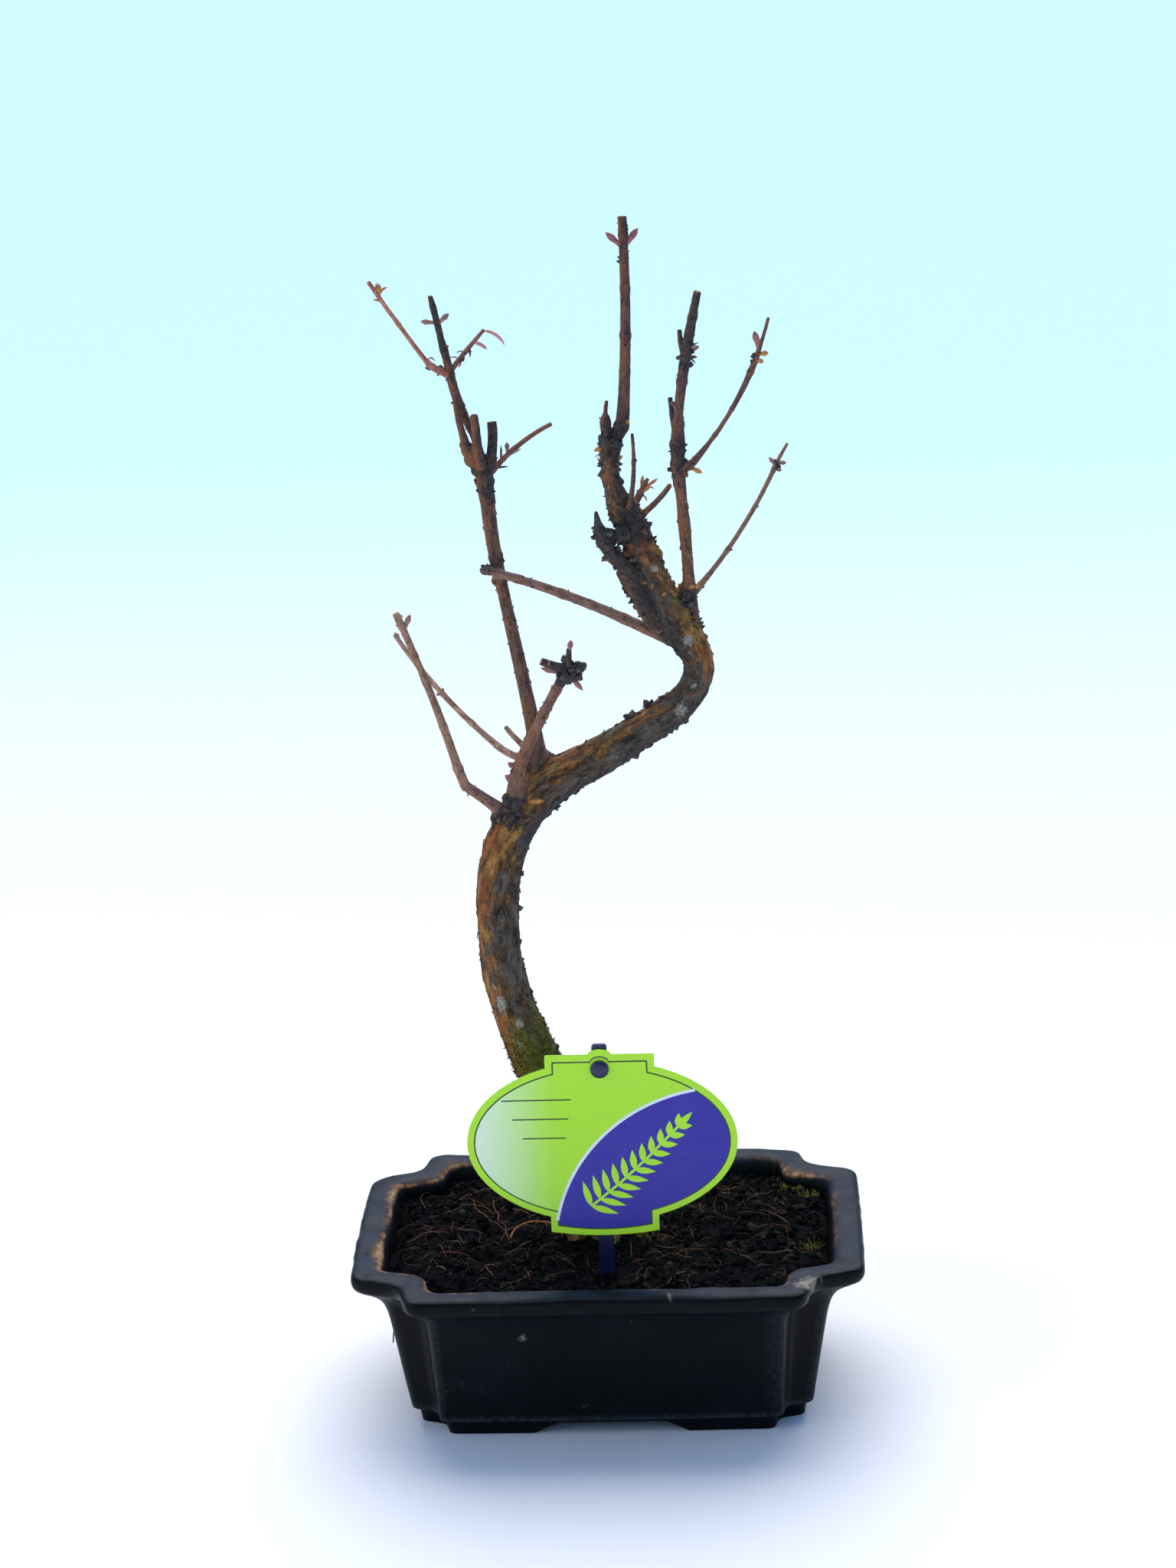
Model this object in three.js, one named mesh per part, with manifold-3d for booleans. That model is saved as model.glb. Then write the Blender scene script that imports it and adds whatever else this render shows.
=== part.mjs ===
// Bare winter bonsai in an oblong training pot with indented corners, with its soil and a plant label.
// Millimetres and degrees. Origin at the middle of the pot's underside, +Z up, the front faces -Y.
import * as THREE from "three";
import { mergeVertices } from "three/addons/utils/BufferGeometryUtils.js";
import Module from "manifold-3d";

const clearance = 0.3;
const soilTop = 50;

// Each level of the pot: height, half length, half depth and size of the indented corner.
const pot = {
  outside: [
    [0, 59.5, 37.5, 9.5],
    [5, 60.3, 38.3, 9.5],
    [5.6, 62.2, 40.6, 9.8],
    [38, 67.4, 47.8, 13.6],
    [44, 68.6, 49.2, 14.6],
    [46.6, 71, 51.2, 15.4],
    [48.4, 76.4, 55.8, 17.8],
    [49.2, 77.9, 57, 18.3],
    [51.4, 78.5, 57.5, 18.5],
    [53.2, 77.8, 56.8, 18.2],
    [54, 75.6, 54.6, 17.8],
  ],
  inside: [
    [54, 71.6, 50.6, 16.8],
    [53, 69.4, 48.2, 16.2],
    [50, 68, 46.8, 15.6],
    [44, 66.4, 46.6, 14.4],
    [7, 60.2, 38.6, 9.4],
  ],
  bow: 0.5,
  cornerRound: 4.5,
  legIn: 0.84,
  legBack: 0.73,
  archHeight: 3.8,
  archFront: [25, 16.5],
  archSide: [15, 9],
  drainRadius: 4,
  drainOffset: 34,
};

// Flat plate with a tab above and below, on a flat peg that is pushed into the soil.
const label = {
  y: -30.8,
  middle: 93.3,
  thick: 0.8,
  halfLong: 41,
  halfHigh: 26.4,
  tabHalf: 16.5,
  tabTop: 28.4,
  tabBottom: 29.2,
  crown: 1.4,
  bumpHalf: 3.4,
  bumpHigh: 30,
  pegWide: 4.6,
  pegThick: 1.8,
  pegTop: 124.4,
  pegBottom: 24,
  pegPoint: 7,
  studHeight: 117.2,
  studRadius: 1.6,
  headRadius: 2.8,
  headThick: 1.4,
};

// A limb grows from a place on another limb, given in mm along it.
// heading: mm along the limb, lean from upright to the right and swing to the back.
// girth: mm along the limb and diameter there.
const limbs = {
  trunk: {
    from: [-2.5, 0, soilTop + clearance],
    heading: [
      [0, -13, -1], [38.5, -19, -3], [71.5, -19, -7], [107, -3, -5], [133.5, 17, 9], [148.5, 43, 16],
      [166.5, 65, 14], [191.5, 62, 9], [202, 57, 7], [214, 19, -5], [225.5, -31, -11], [243.5, -21, -13],
      [266, -22, -7],
    ],
    girth: [
      [0, 20], [10, 17.4], [25, 15.8], [62, 14.6], [80, 13.2], [99, 12.3], [131, 12.8], [161, 12.4],
      [183, 10.8], [202, 9.8], [214, 8.5], [222, 8.9], [232, 11.6], [243, 9.6], [253, 8.4], [260, 9],
      [266, 8.7],
    ],
  },
  left_bough: {
    on: "trunk", at: 156,
    heading: [[0, -9, 26], [34.5, -11, 8], [68.5, -11, 11], [89, -3, 10]],
    girth: [[0, 9], [8, 6.4], [13, 5.1], [31.5, 4.3], [60, 3.8], [72.5, 4.1], [89, 4.5]],
  },
  crossing_bough: {
    on: "trunk", at: 224.5,
    heading: [[0, -63, -14], [18.5, -64, 5], [69, -76, 9]],
    girth: [[0, 4.4], [12, 3.6], [29, 3.2], [53, 2.8], [67.5, 2.6], [69, 1.4]],
  },
  spur_bough: {
    on: "trunk", at: 145,
    heading: [[0, -11, -21], [23, 22, -26], [59.5, 28, -31]],
    girth: [[0, 7.5], [12, 5.6], [19, 4.2], [30, 3.6], [49.5, 3.1], [59.5, 3.1]],
  },
  right_bough: {
    on: "trunk", at: 228,
    heading: [[0, 14, 14], [11, -1, -19], [49.5, -4, -17], [53.5, -6, -13]],
    girth: [[0, 6.5], [8, 5], [17.5, 4], [27, 3.3], [38, 3.8], [47.5, 3.3], [53.5, 3.8]],
  },
  low_bough: {
    on: "trunk", at: 143.5,
    heading: [[0, -50, -9], [20.5, -47, -19]],
    girth: [[0, 4.6], [13, 3.5], [20.5, 3.2]],
  },
  low_twig: {
    on: "low_bough", at: 20.5,
    heading: [[0, -18, -14], [9, -14, -10], [60, -20, -9]],
    girth: [[0, 3.1], [11, 2.7], [23.5, 2.5], [42.5, 2.1], [60, 2.2]],
  },
  low_inner_twig: {
    on: "left_bough", at: 9,
    heading: [[0, -96, 21], [15, -54, 24], [61.5, -34, 10]],
    girth: [[0, 2.8], [11, 2.3], [23, 1.9], [61.5, 1.5]],
  },
  short_stub: {
    on: "left_bough", at: 10.5,
    heading: [[0, -56, -6], [14.5, -28, -20]],
    girth: [[0, 2.2], [14.5, 1.5]],
  },
  dark_stub: {
    on: "trunk", at: 249,
    heading: [[0, -66, -25], [18.5, -31, -27], [27, -18, -16], [35, -2, -10]],
    girth: [[0, 5], [12.5, 4.2], [24.5, 4.5], [29, 3.7], [32, 2.1], [35, 1.2]],
  },
  stub_foot: {
    from: [21.1, 1.2, 243.8],
    heading: [[0, -25, -12], [12, -24, -11], [18, -28, -14], [24, -32, -14]],
    girth: [[0, 3], [5, 4.6], [14, 5], [24, 4]],
  },
  stub_bridge: {
    on: "dark_stub", at: 25,
    heading: [[0, 78, 14], [7.5, 66, 26]],
    girth: [[0, 3.2], [7.5, 3.8]],
  },
  right_low_twig: {
    on: "right_bough", at: 14,
    heading: [[0, 49, 34], [50, 29, 33], [59, 35, 20]],
    girth: [[0, 2.4], [11, 1.6], [36, 1.4], [50, 1.5], [59, 0.9]],
  },
  left_knob: {
    on: "left_bough", at: 89,
    heading: [[0, -8, 0], [8.5, -6, 4]],
    girth: [[0, 4.7], [8.5, 5.4]],
  },
  left_stem: {
    on: "left_knob", at: 8.5,
    heading: [[0, -6, 6], [8, -14, 8], [14, -25, 8], [19, -23, 8], [32.5, -8, 8]],
    girth: [[0, 5], [5, 3.5], [9, 2.4], [12, 2.1], [16, 2.5], [19, 3], [28.5, 2.9], [32.5, 2.8]],
  },
  left_side_stem: {
    on: "left_stem", at: 5.5,
    heading: [[0, -63, -46], [7.5, -16, -3], [22.5, -3, 20]],
    girth: [[0, 2.6], [7.5, 2.3], [22.5, 1.8]],
  },
  left_mid_shoot: {
    on: "left_stem", at: 32,
    heading: [[0, -12, -6], [24, -10, -4]],
    girth: [[0, 2.6], [11, 2.2], [24, 1.7]],
  },
  left_outer_twig: {
    on: "left_stem", at: 31,
    heading: [[0, -65, -14], [4, -58, -29], [10, -31, -21], [40.5, -30, -10]],
    girth: [[0, 2.4], [6, 2.2], [10, 1.5], [40.5, 1.3]],
  },
  left_inner_twig: {
    on: "left_stem", at: 32,
    heading: [[0, 41, 28], [17.5, 46, 38]],
    girth: [[0, 1.8], [17.5, 1.2]],
  },
  dried_curl: {
    on: "left_inner_twig", at: 17.5,
    heading: [[0, 85, 20], [4, 105, 10], [8, 140, 5]],
    girth: [[0, 1.1], [8, 0.8]],
  },
  left_front_stub: {
    on: "left_knob", at: 8,
    heading: [[0, -8, -19], [20.5, -1, -15]],
    girth: [[0, 3.2], [20.5, 2.5]],
  },
  left_back_stub: {
    on: "left_knob", at: 7,
    heading: [[0, 35, 14], [5, 14, 11], [17.5, -6, 8]],
    girth: [[0, 3.6], [7, 3], [17.5, 2.8]],
  },
  left_fork_twig: {
    on: "left_knob", at: 6,
    heading: [[0, 39, 25], [28, 70, 27]],
    girth: [[0, 2], [12, 1.6], [28, 1.3]],
  },
  centre_stem: {
    on: "trunk", at: 266,
    heading: [[0, -19, 4], [7, -27, -3], [31, 12, 2]],
    girth: [[0, 8.6], [10, 7.9], [17, 5], [24, 5.4], [31, 7.4]],
  },
  leader: {
    on: "centre_stem", at: 30,
    heading: [[0, 53, -6], [8, 5, 6], [66.5, -2, 5]],
    girth: [[0, 4.6], [8, 3.9], [15, 3.5], [40.5, 3], [66.5, 2.8]],
  },
  peg_stub: {
    on: "centre_stem", at: 28,
    heading: [[0, -15, -15], [15, 12, -9]],
    girth: [[0, 3.6], [8, 3.2], [10, 2.5], [11, 1.4], [15, 1.1]],
  },
  dead_twig: {
    on: "centre_stem", at: 8.5,
    heading: [[0, 81, -65], [6, 11, -22], [28.5, -4, -1]],
    girth: [[0, 1.8], [28.5, 1]],
  },
  fork_twig: {
    on: "centre_stem", at: 6,
    heading: [[0, 37, 22], [14, 30, 43]],
    girth: [[0, 2.6], [9, 2], [14, 1.2]],
  },
  inner_twig: {
    on: "centre_stem", at: 4,
    heading: [[0, 69, 37], [19.5, 42, 44]],
    girth: [[0, 2.2], [10.5, 1.8], [19.5, 1.6]],
  },
  right_stem: {
    on: "right_bough", at: 53.5,
    heading: [[0, -3, -7], [10.5, 1, -11], [33.5, 10, -2], [58.5, 13, -7]],
    girth: [[0, 3.8], [12, 4.5], [22, 2.8], [37.5, 3.2], [46.5, 3], [52.5, 2.5], [58.5, 2.1]],
  },
  right_arc_twig: {
    on: "right_stem", at: 3.5,
    heading: [[0, 63, -27], [7.5, 37, -32], [19, 34, -25], [62, 14, -15]],
    girth: [[0, 2.6], [7, 2.2], [16, 1.4], [27, 1.3], [38, 1.7], [47, 1.9], [54, 1.2], [62, 1]],
  },
  right_side_stub: {
    on: "right_stem", at: 12,
    heading: [[0, -11, 10], [14, -5, 19]],
    girth: [[0, 2], [14, 1.4]],
  },
  right_top_stub: {
    on: "right_stem", at: 38,
    heading: [[0, -20, 24], [9, -1, 29]],
    girth: [[0, 2], [9, 1.4]],
  },
  spur_core: {
    on: "spur_bough", at: 59.5,
    heading: [[0, 28, -27], [6, 28, -27]],
    girth: [[0, 3.1], [6, 4]],
  },
  spur_cut: {
    on: "spur_core", at: 5,
    heading: [[0, -68, -12], [8.5, -66, -8]],
    girth: [[0, 2.6], [8.5, 2.3]],
  },
  spur_shoot: {
    on: "spur_core", at: 5.5,
    heading: [[0, 6, -20], [7, 2, -12]],
    girth: [[0, 2.4], [7, 1.4]],
  },
  spur_knuckle: {
    on: "spur_core", at: 5.5,
    heading: [[0, 85, -25], [5, 80, -20]],
    girth: [[0, 2.6], [5, 2]],
  },
};

// Nodes that are one limb each, the stub's own limbs, then the masses that branch from their first limb.
const singles = [
  "trunk", "left_bough", "crossing_bough", "spur_bough", "right_bough", "low_bough", "low_twig",
  "low_inner_twig", "short_stub", "dark_stub", "right_low_twig",
];
const stubLimbs = ["dark_stub", "stub_foot", "stub_bridge"];
const masses = {
  left_crown: [
    "left_knob", "left_stem", "left_side_stem", "left_mid_shoot", "left_outer_twig", "left_inner_twig",
    "dried_curl", "left_front_stub", "left_back_stub", "left_fork_twig",
  ],
  centre_crown: ["centre_stem", "leader", "peg_stub", "dead_twig", "fork_twig", "inner_twig"],
  right_crown: ["right_stem", "right_arc_twig", "right_side_stub", "right_top_stub"],
  spur_cluster: ["spur_core", "spur_cut", "spur_shoot", "spur_knuckle"],
};

// Buds: limb, mm along it, side (0 right, 90 back, 180 left), angle out from the limb, length, diameter.
const buds = [
  ["leader", 56.5, 0, 50, 6, 1.7], ["leader", 56.5, 180, 50, 5.6, 1.7],
  ["left_mid_shoot", 15, 0, 62, 6.6, 1.6], ["left_mid_shoot", 15.5, 180, 45, 4.8, 1.5],
  ["left_outer_twig", 33.5, 0, 58, 5.4, 1.4], ["left_outer_twig", 39.5, 180, 6, 2.4, 1.3],
  ["left_fork_twig", 11, 180, 50, 3.8, 1.5], ["left_inner_twig", 12, 0, 65, 3.6, 1.2],
  ["low_twig", 54, 0, 42, 6.6, 1.8], ["low_twig", 60, 180, 6, 3, 1.9],
  ["low_inner_twig", 60, 0, 6, 2.6, 1.4],
  ["right_stem", 40, 0, 45, 4.2, 1.6], ["right_stem", 23, 180, 50, 3.4, 1.5],
  ["right_arc_twig", 52, 180, 42, 4, 1.4], ["right_arc_twig", 48, 0, 48, 4.2, 1.5],
  ["right_arc_twig", 4, 0, 70, 4.4, 1.6], ["right_arc_twig", 61.5, 0, 5, 3, 1.2],
  ["right_low_twig", 52, 0, 50, 3.6, 1.4], ["right_low_twig", 51, 180, 50, 3.4, 1.4],
  ["spur_bough", 21, 180, 55, 3.8, 1.6], ["spur_bough", 16, 180, 70, 4, 1.6],
  ["spur_core", 5, 0, 100, 7, 1.8], ["spur_core", 4, 0, 115, 6, 1.6], ["spur_core", 4, 180, 85, 7, 1.7],
  ["spur_core", 3, 180, 100, 6, 1.6], ["spur_shoot", 5.5, 0, 5, 3.4, 1.7],
];

// Knots: limb, mm along it, side, distance of the middle from the limb's axis, radius.
const knots = [
  ["trunk", 150, 170, 5.4, 2.6], ["trunk", 142, 185, 5.6, 2.6], ["trunk", 258, 0, 4, 2.4],
  ["trunk", 236, 90, 4.6, 3], ["trunk", 88, 60, 5.2, 3.2],
  ["centre_stem", 20, 180, 1.7, 1.7], ["centre_stem", 11, 0, 2.4, 1.8],
  ["left_side_stem", 6.5, 180, 0.8, 1.3], ["right_bough", 17, 180, 1.4, 2],
  ["right_stem", 12, 180, 1, 1.8], ["crossing_bough", 66.5, 0, 0.3, 1.8],
  ["left_bough", 65, 180, 2.2, 1.3], ["left_knob", 6, 90, 1.2, 3],
];

const looks = {
  pot: { color: 0x24292e, roughness: 0.55 },
  soil: { color: 0x2a211b, roughness: 1 },
  plate: { color: 0x8fcf1f, roughness: 0.4 },
  peg: { color: 0x2b2d6a, roughness: 0.4 },
  bark: { color: 0x8a6038, roughness: 0.9 },
  twig: { color: 0x7d4a38, roughness: 0.8 },
};

const wasm = await Module();
wasm.setup();

// Value of a table at a distance: rows start with the distance, straight lines in between.
function lookUp(rows, distance, column) {
  if (distance <= rows[0][0]) {
    return rows[0][column];
  }
  for (let i = 1; i < rows.length; i++) {
    const [a, b] = [rows[i - 1], rows[i]];
    if (distance <= b[0]) {
      return THREE.MathUtils.lerp(a[column], b[column], (distance - a[0]) / (b[0] - a[0]));
    }
  }
  return rows[rows.length - 1][column];
}

// Closed geometry as a solid that can be joined and cut.
function solidOf(geometry) {
  geometry.deleteAttribute("normal");
  geometry.deleteAttribute("uv");
  const merged = mergeVertices(geometry, 1e-4);
  const corners = merged.index.array;
  const triangles = [];
  for (let i = 0; i < corners.length; i += 3) {
    const [a, b, c] = corners.slice(i, i + 3);
    if (a !== b && b !== c && c !== a) {
      triangles.push(a, b, c);
    }
  }
  return new wasm.Manifold(new wasm.Mesh({
    numProp: 3,
    vertProperties: new Float32Array(merged.attributes.position.array),
    triVerts: new Uint32Array(triangles),
  }));
}

// Closed solid through rings of equal point count, capped at both ends.
function loft(rings) {
  const count = rings[0].length;
  const points = rings.flat();
  for (const ring of [rings[0], rings[rings.length - 1]]) {
    const middle = new THREE.Vector3();
    ring.forEach((p) => middle.addScaledVector(p, 1 / count));
    points.push(middle);
  }
  const caps = rings.length * count;
  const last = caps - count;
  const triangles = [];
  for (let j = 0; j < count; j++) {
    const next = (j + 1) % count;
    for (let a = 0; a < last; a += count) {
      const b = a + count;
      triangles.push(a + j, a + next, b + next, a + j, b + next, b + j);
    }
    triangles.push(caps, next, j, caps + 1, last + j, last + next);
  }
  const geometry = new THREE.BufferGeometry().setFromPoints(points);
  geometry.setIndex(triangles);
  return solidOf(geometry);
}

// Flat outline in x and z, from its front face at y back by its thickness.
function slab(shape, y, thick, curveSegments) {
  const geometry = new THREE.ExtrudeGeometry(shape, { depth: thick, bevelEnabled: false, curveSegments });
  return solidOf(geometry.rotateX(Math.PI / 2).translate(0, y + thick, 0));
}

function outlineOf(points) {
  return new THREE.Shape(points.map(([x, z]) => new THREE.Vector2(x, z)));
}

// Outline of the pot at one level: bowed sides, corners that step in along two slanted legs.
function potRing([height, halfLong, halfDeep, notch]) {
  const corner = [
    [halfLong, halfDeep - notch],
    [halfLong - pot.legIn * notch, halfDeep - pot.legBack * notch],
    [halfLong - notch, halfDeep],
  ];
  const quarters = [[1, 1, false], [-1, 1, true], [-1, -1, false], [1, -1, true]];
  const points = quarters.flatMap(([sx, sy, reversed]) => {
    const list = corner.map(([x, y]) => new THREE.Vector2(sx * x, sy * y));
    return reversed ? list.reverse() : list;
  });
  const shape = new THREE.Shape();
  const widest = Math.max(...pot.outside.map((level) => level[3]));
  const reach = (pot.cornerRound * notch) / widest;
  points.forEach((p, i) => {
    const next = points[(i + 1) % points.length];
    const previous = points[(i + points.length - 1) % points.length];
    const before = previous.clone().sub(p).setLength(reach).add(p);
    const after = next.clone().sub(p).setLength(reach).add(p);
    const end = p.clone().sub(next).setLength(reach).add(next);
    if (i === 0) {
      shape.moveTo(before.x, before.y);
    }
    shape.quadraticCurveTo(p.x, p.y, after.x, after.y);
    if (i % corner.length === corner.length - 1) {
      const outward = new THREE.Vector2(end.y - after.y, after.x - end.x).setLength(2 * pot.bow);
      const bulge = after.clone().add(end).multiplyScalar(0.5).add(outward);
      shape.quadraticCurveTo(bulge.x, bulge.y, end.x, end.y);
    } else {
      shape.lineTo(end.x, end.y);
    }
  });
  const outline = shape.getPoints(5);
  outline.pop();
  return outline.map((p) => new THREE.Vector3(p.x, p.y, height));
}

// Wedge-sided channel between the feet, right through the base from front to back.
function archBody([bottom, top]) {
  const high = pot.archHeight;
  const outline = outlineOf([[-bottom - 1, -1], [bottom + 1, -1], [top, high], [-top, high]]);
  const far = pot.outside[0][1] + 10;
  return slab(outline, -far, 2 * far, 1);
}

function potBody() {
  const shell = loft([...pot.outside, ...pot.inside].map(potRing));
  const cuts = [archBody(pot.archFront), archBody(pot.archSide).rotate([0, 0, 90])];
  const floor = pot.inside[pot.inside.length - 1][0];
  for (const side of [-1, 1]) {
    const drain = new THREE.CylinderGeometry(pot.drainRadius, pot.drainRadius, 3 * floor, 24);
    cuts.push(solidOf(drain.rotateX(Math.PI / 2).translate(side * pot.drainOffset, 0, 0)));
  }
  return shell.subtract(wasm.Manifold.union(cuts));
}

// Soil that fills the pot, a clearance inside its walls, with a slot for the label's peg.
function soilBody() {
  const inner = [...pot.inside].reverse();
  const floor = inner[0][0];
  const levels = inner.filter(([height]) => height < soilTop);
  levels.push([soilTop, ...[1, 2, 3].map((column) => lookUp(inner, soilTop, column))]);
  const rings = levels.map(([height, halfLong, halfDeep, notch]) => potRing([
    height === floor ? height + clearance : height, halfLong - clearance, halfDeep - clearance, notch,
  ]));
  return loft(rings).subtract(pegBar(clearance));
}

// Pointed flat bar behind the plate, thicker all round by grow.
function pegBar(grow) {
  const { pegWide, pegThick, pegTop, pegBottom, pegPoint } = label;
  const half = pegWide / 2 + grow;
  const tip = 0.3 * half;
  const outline = outlineOf([
    [-tip, pegBottom - grow], [tip, pegBottom - grow], [half, pegBottom + pegPoint], [half, pegTop],
    [-half, pegTop], [-half, pegBottom + pegPoint],
  ]);
  return slab(outline, label.y + label.thick + clearance - grow, pegThick + 2 * grow, 1);
}

// The peg's stud passes through the plate and ends in a round head.
function pegBody() {
  const root = -label.y - label.thick - clearance - label.pegThick / 2;
  const face = -label.y + clearance;
  const { studRadius, headRadius, headThick } = label;
  const profile = [
    [0, root], [studRadius, root], [studRadius, face], [headRadius, face],
    [headRadius, face + 0.5 * headThick], [0.75 * headRadius, face + 0.85 * headThick],
    [0.35 * headRadius, face + headThick], [0, face + headThick],
  ];
  const stud = new THREE.LatheGeometry(profile.map(([x, y]) => new THREE.Vector2(x, y)), 20);
  return pegBar(0).add(solidOf(stud.rotateX(Math.PI).translate(0, 0, label.studHeight)));
}

function plateBody() {
  const { halfLong, halfHigh, tabHalf, tabTop, tabBottom, crown, bumpHalf, bumpHigh, middle } = label;
  const meet = Math.acos(tabHalf / halfLong);
  const shape = new THREE.Shape();
  shape.absellipse(0, middle, halfLong, halfHigh, -meet, meet, false, 0);
  shape.lineTo(tabHalf, middle + tabTop);
  shape.lineTo(bumpHalf, middle + tabTop);
  shape.quadraticCurveTo(bumpHalf, middle + bumpHigh, 0, middle + bumpHigh);
  shape.quadraticCurveTo(-bumpHalf, middle + bumpHigh, -bumpHalf, middle + tabTop);
  shape.lineTo(-tabHalf, middle + tabTop);
  shape.absellipse(0, middle, halfLong, halfHigh, Math.PI - meet, Math.PI + meet, false, 0);
  shape.lineTo(-tabHalf, middle - tabBottom);
  shape.quadraticCurveTo(0, middle - tabBottom - 2 * crown, tabHalf, middle - tabBottom);
  shape.closePath();
  const hole = new THREE.Path();
  hole.absarc(0, label.studHeight, label.studRadius + clearance, 0, 2 * Math.PI, true);
  shape.holes.push(hole);
  return slab(shape, label.y, label.thick, 12);
}

function headingAt(limb, distance) {
  const lean = THREE.MathUtils.degToRad(lookUp(limb.heading, distance, 1));
  const swing = THREE.MathUtils.degToRad(lookUp(limb.heading, distance, 2));
  return new THREE.Vector3(
    Math.sin(lean) * Math.cos(swing), Math.sin(swing), Math.cos(lean) * Math.cos(swing));
}

function lengthOf(limb) {
  return limb.heading[limb.heading.length - 1][0];
}

// Point of a limb's axis, by following its heading in half-millimetre steps.
function pointAt(limb, distance) {
  const point = limb.on ? pointAt(limbs[limb.on], limb.at) : new THREE.Vector3(...limb.from);
  const steps = Math.max(1, Math.round(distance / 0.5));
  const stride = distance / steps;
  for (let i = 0; i < steps; i++) {
    point.addScaledVector(headingAt(limb, (i + 0.5) * stride), stride);
  }
  return point;
}

// Direction across a limb: side 0 is to the right as seen from the front, 90 to the back.
function sideOf(heading, side) {
  const right = new THREE.Vector3(0, 1, 0).cross(heading).normalize();
  const back = heading.clone().cross(right);
  const angle = THREE.MathUtils.degToRad(side);
  return right.multiplyScalar(Math.cos(angle)).addScaledVector(back, Math.sin(angle));
}

// Outline of the wood: low ribs on old wood, five root ribs that fade out above the soil.
function radiusOf(name, distance, side) {
  const angle = THREE.MathUtils.degToRad(side);
  const girth = lookUp(limbs[name].girth, distance, 1);
  const age = THREE.MathUtils.clamp((girth - 3) / 8, 0, 1);
  const broadRibs = 0.05 * Math.cos(3 * angle + 0.11 * distance);
  const ribs = broadRibs + 0.035 * Math.cos(5 * angle - 0.17 * distance);
  const flare = name === "trunk" ? Math.exp(-distance / 9) : 0;
  const roots = 0.16 + 0.2 * Math.cos(5 * angle + 0.6);
  return (girth / 2) * (1 + age * ribs + flare * roots);
}

// One tapering limb; the trunk starts below the soil's face, where it is trimmed flat.
function limbBody(name, grow) {
  const limb = limbs[name];
  const length = lengthOf(limb);
  const thickest = limb.girth[0][1];
  const sides = thickest > 8 ? 16 : thickest > 4.5 ? 10 : 7;
  const count = Math.max(2, Math.round(length / (thickest > 8 ? 4.5 : 5)));
  const sunk = name === "trunk" ? 8 : grow;
  const rings = [];
  for (let i = 0; i <= count; i++) {
    const distance = (length * i) / count;
    const heading = headingAt(limb, distance);
    const middle = pointAt(limb, distance);
    if (i === 0) {
      middle.addScaledVector(heading, -sunk);
    }
    if (i === count) {
      middle.addScaledVector(heading, grow);
    }
    const ring = [];
    for (let j = 0; j < sides; j++) {
      const side = (360 * j) / sides;
      const radius = radiusOf(name, distance, side) + grow;
      ring.push(middle.clone().addScaledVector(sideOf(heading, side), radius));
    }
    rings.push(ring);
  }
  return loft(rings);
}

// Geometry made along +Y, turned to an axis and moved to a spot.
function setOn(geometry, axis, spot) {
  const turn = new THREE.Quaternion().setFromUnitVectors(new THREE.Vector3(0, 1, 0), axis);
  return solidOf(geometry.applyQuaternion(turn).translate(spot.x, spot.y, spot.z));
}

function budBody([name, at, side, out, length, diameter], grow) {
  const along = headingAt(limbs[name], at);
  const tilt = THREE.MathUtils.degToRad(out);
  const axis = sideOf(along, side).multiplyScalar(Math.sin(tilt)).addScaledVector(along, Math.cos(tilt));
  const spindle = [[0.7, 0], [1, 0.62], [0.75, 0.86], [0.25, 1]].map(([wide, far]) => (
    new THREE.Vector2((wide * diameter) / 2 + grow, far * (length + grow))));
  const profile = [new THREE.Vector2(0, 0), ...spindle, new THREE.Vector2(0, length + grow)];
  return setOn(new THREE.LatheGeometry(profile, 6), axis, pointAt(limbs[name], at));
}

function knotBody([name, at, side, distance, radius], grow) {
  const heading = headingAt(limbs[name], at);
  const spot = pointAt(limbs[name], at).addScaledVector(sideOf(heading, side), distance);
  const size = radius + grow;
  return setOn(new THREE.SphereGeometry(size, 8, 5).scale(1, 1.15, 1), heading, spot);
}

// All the wood of one node, thicker by grow where it makes room for itself.
function woodBody(names, grow) {
  const pieces = names.map((name) => limbBody(name, grow));
  buds.filter((bud) => names.includes(bud[0])).forEach((bud) => pieces.push(budBody(bud, grow)));
  knots.filter((knot) => names.includes(knot[0])).forEach((knot) => pieces.push(knotBody(knot, grow)));
  const body = wasm.Manifold.union(pieces);
  return names[0] === "trunk" ? body.trimByPlane([0, 0, 1], soilTop + clearance - grow) : body;
}

function boxesMeet(a, b) {
  const [p, q] = [a.boundingBox(), b.boundingBox()];
  return [0, 1, 2].every((k) => p.min[k] < q.max[k] && q.min[k] < p.max[k]);
}

function largest(body) {
  return body.decompose().reduce((a, b) => (a.volume() > b.volume() ? a : b));
}

const group = new THREE.Group();
group.name = "bonsai";

function addPart(name, body, look) {
  const data = body.getMesh();
  const geometry = new THREE.BufferGeometry();
  geometry.setAttribute("position", new THREE.BufferAttribute(new Float32Array(data.vertProperties), 3));
  geometry.setIndex(new THREE.BufferAttribute(new Uint32Array(data.triVerts), 1));
  geometry.computeVertexNormals();
  const mesh = new THREE.Mesh(geometry, new THREE.MeshStandardMaterial(look));
  mesh.name = name;
  group.add(mesh);
}

addPart("pot", potBody(), looks.pot);
addPart("soil", soilBody(), looks.soil);
addPart("label_plate", plateBody(), looks.plate);
addPart("label_peg", pegBody(), looks.peg);

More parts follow.
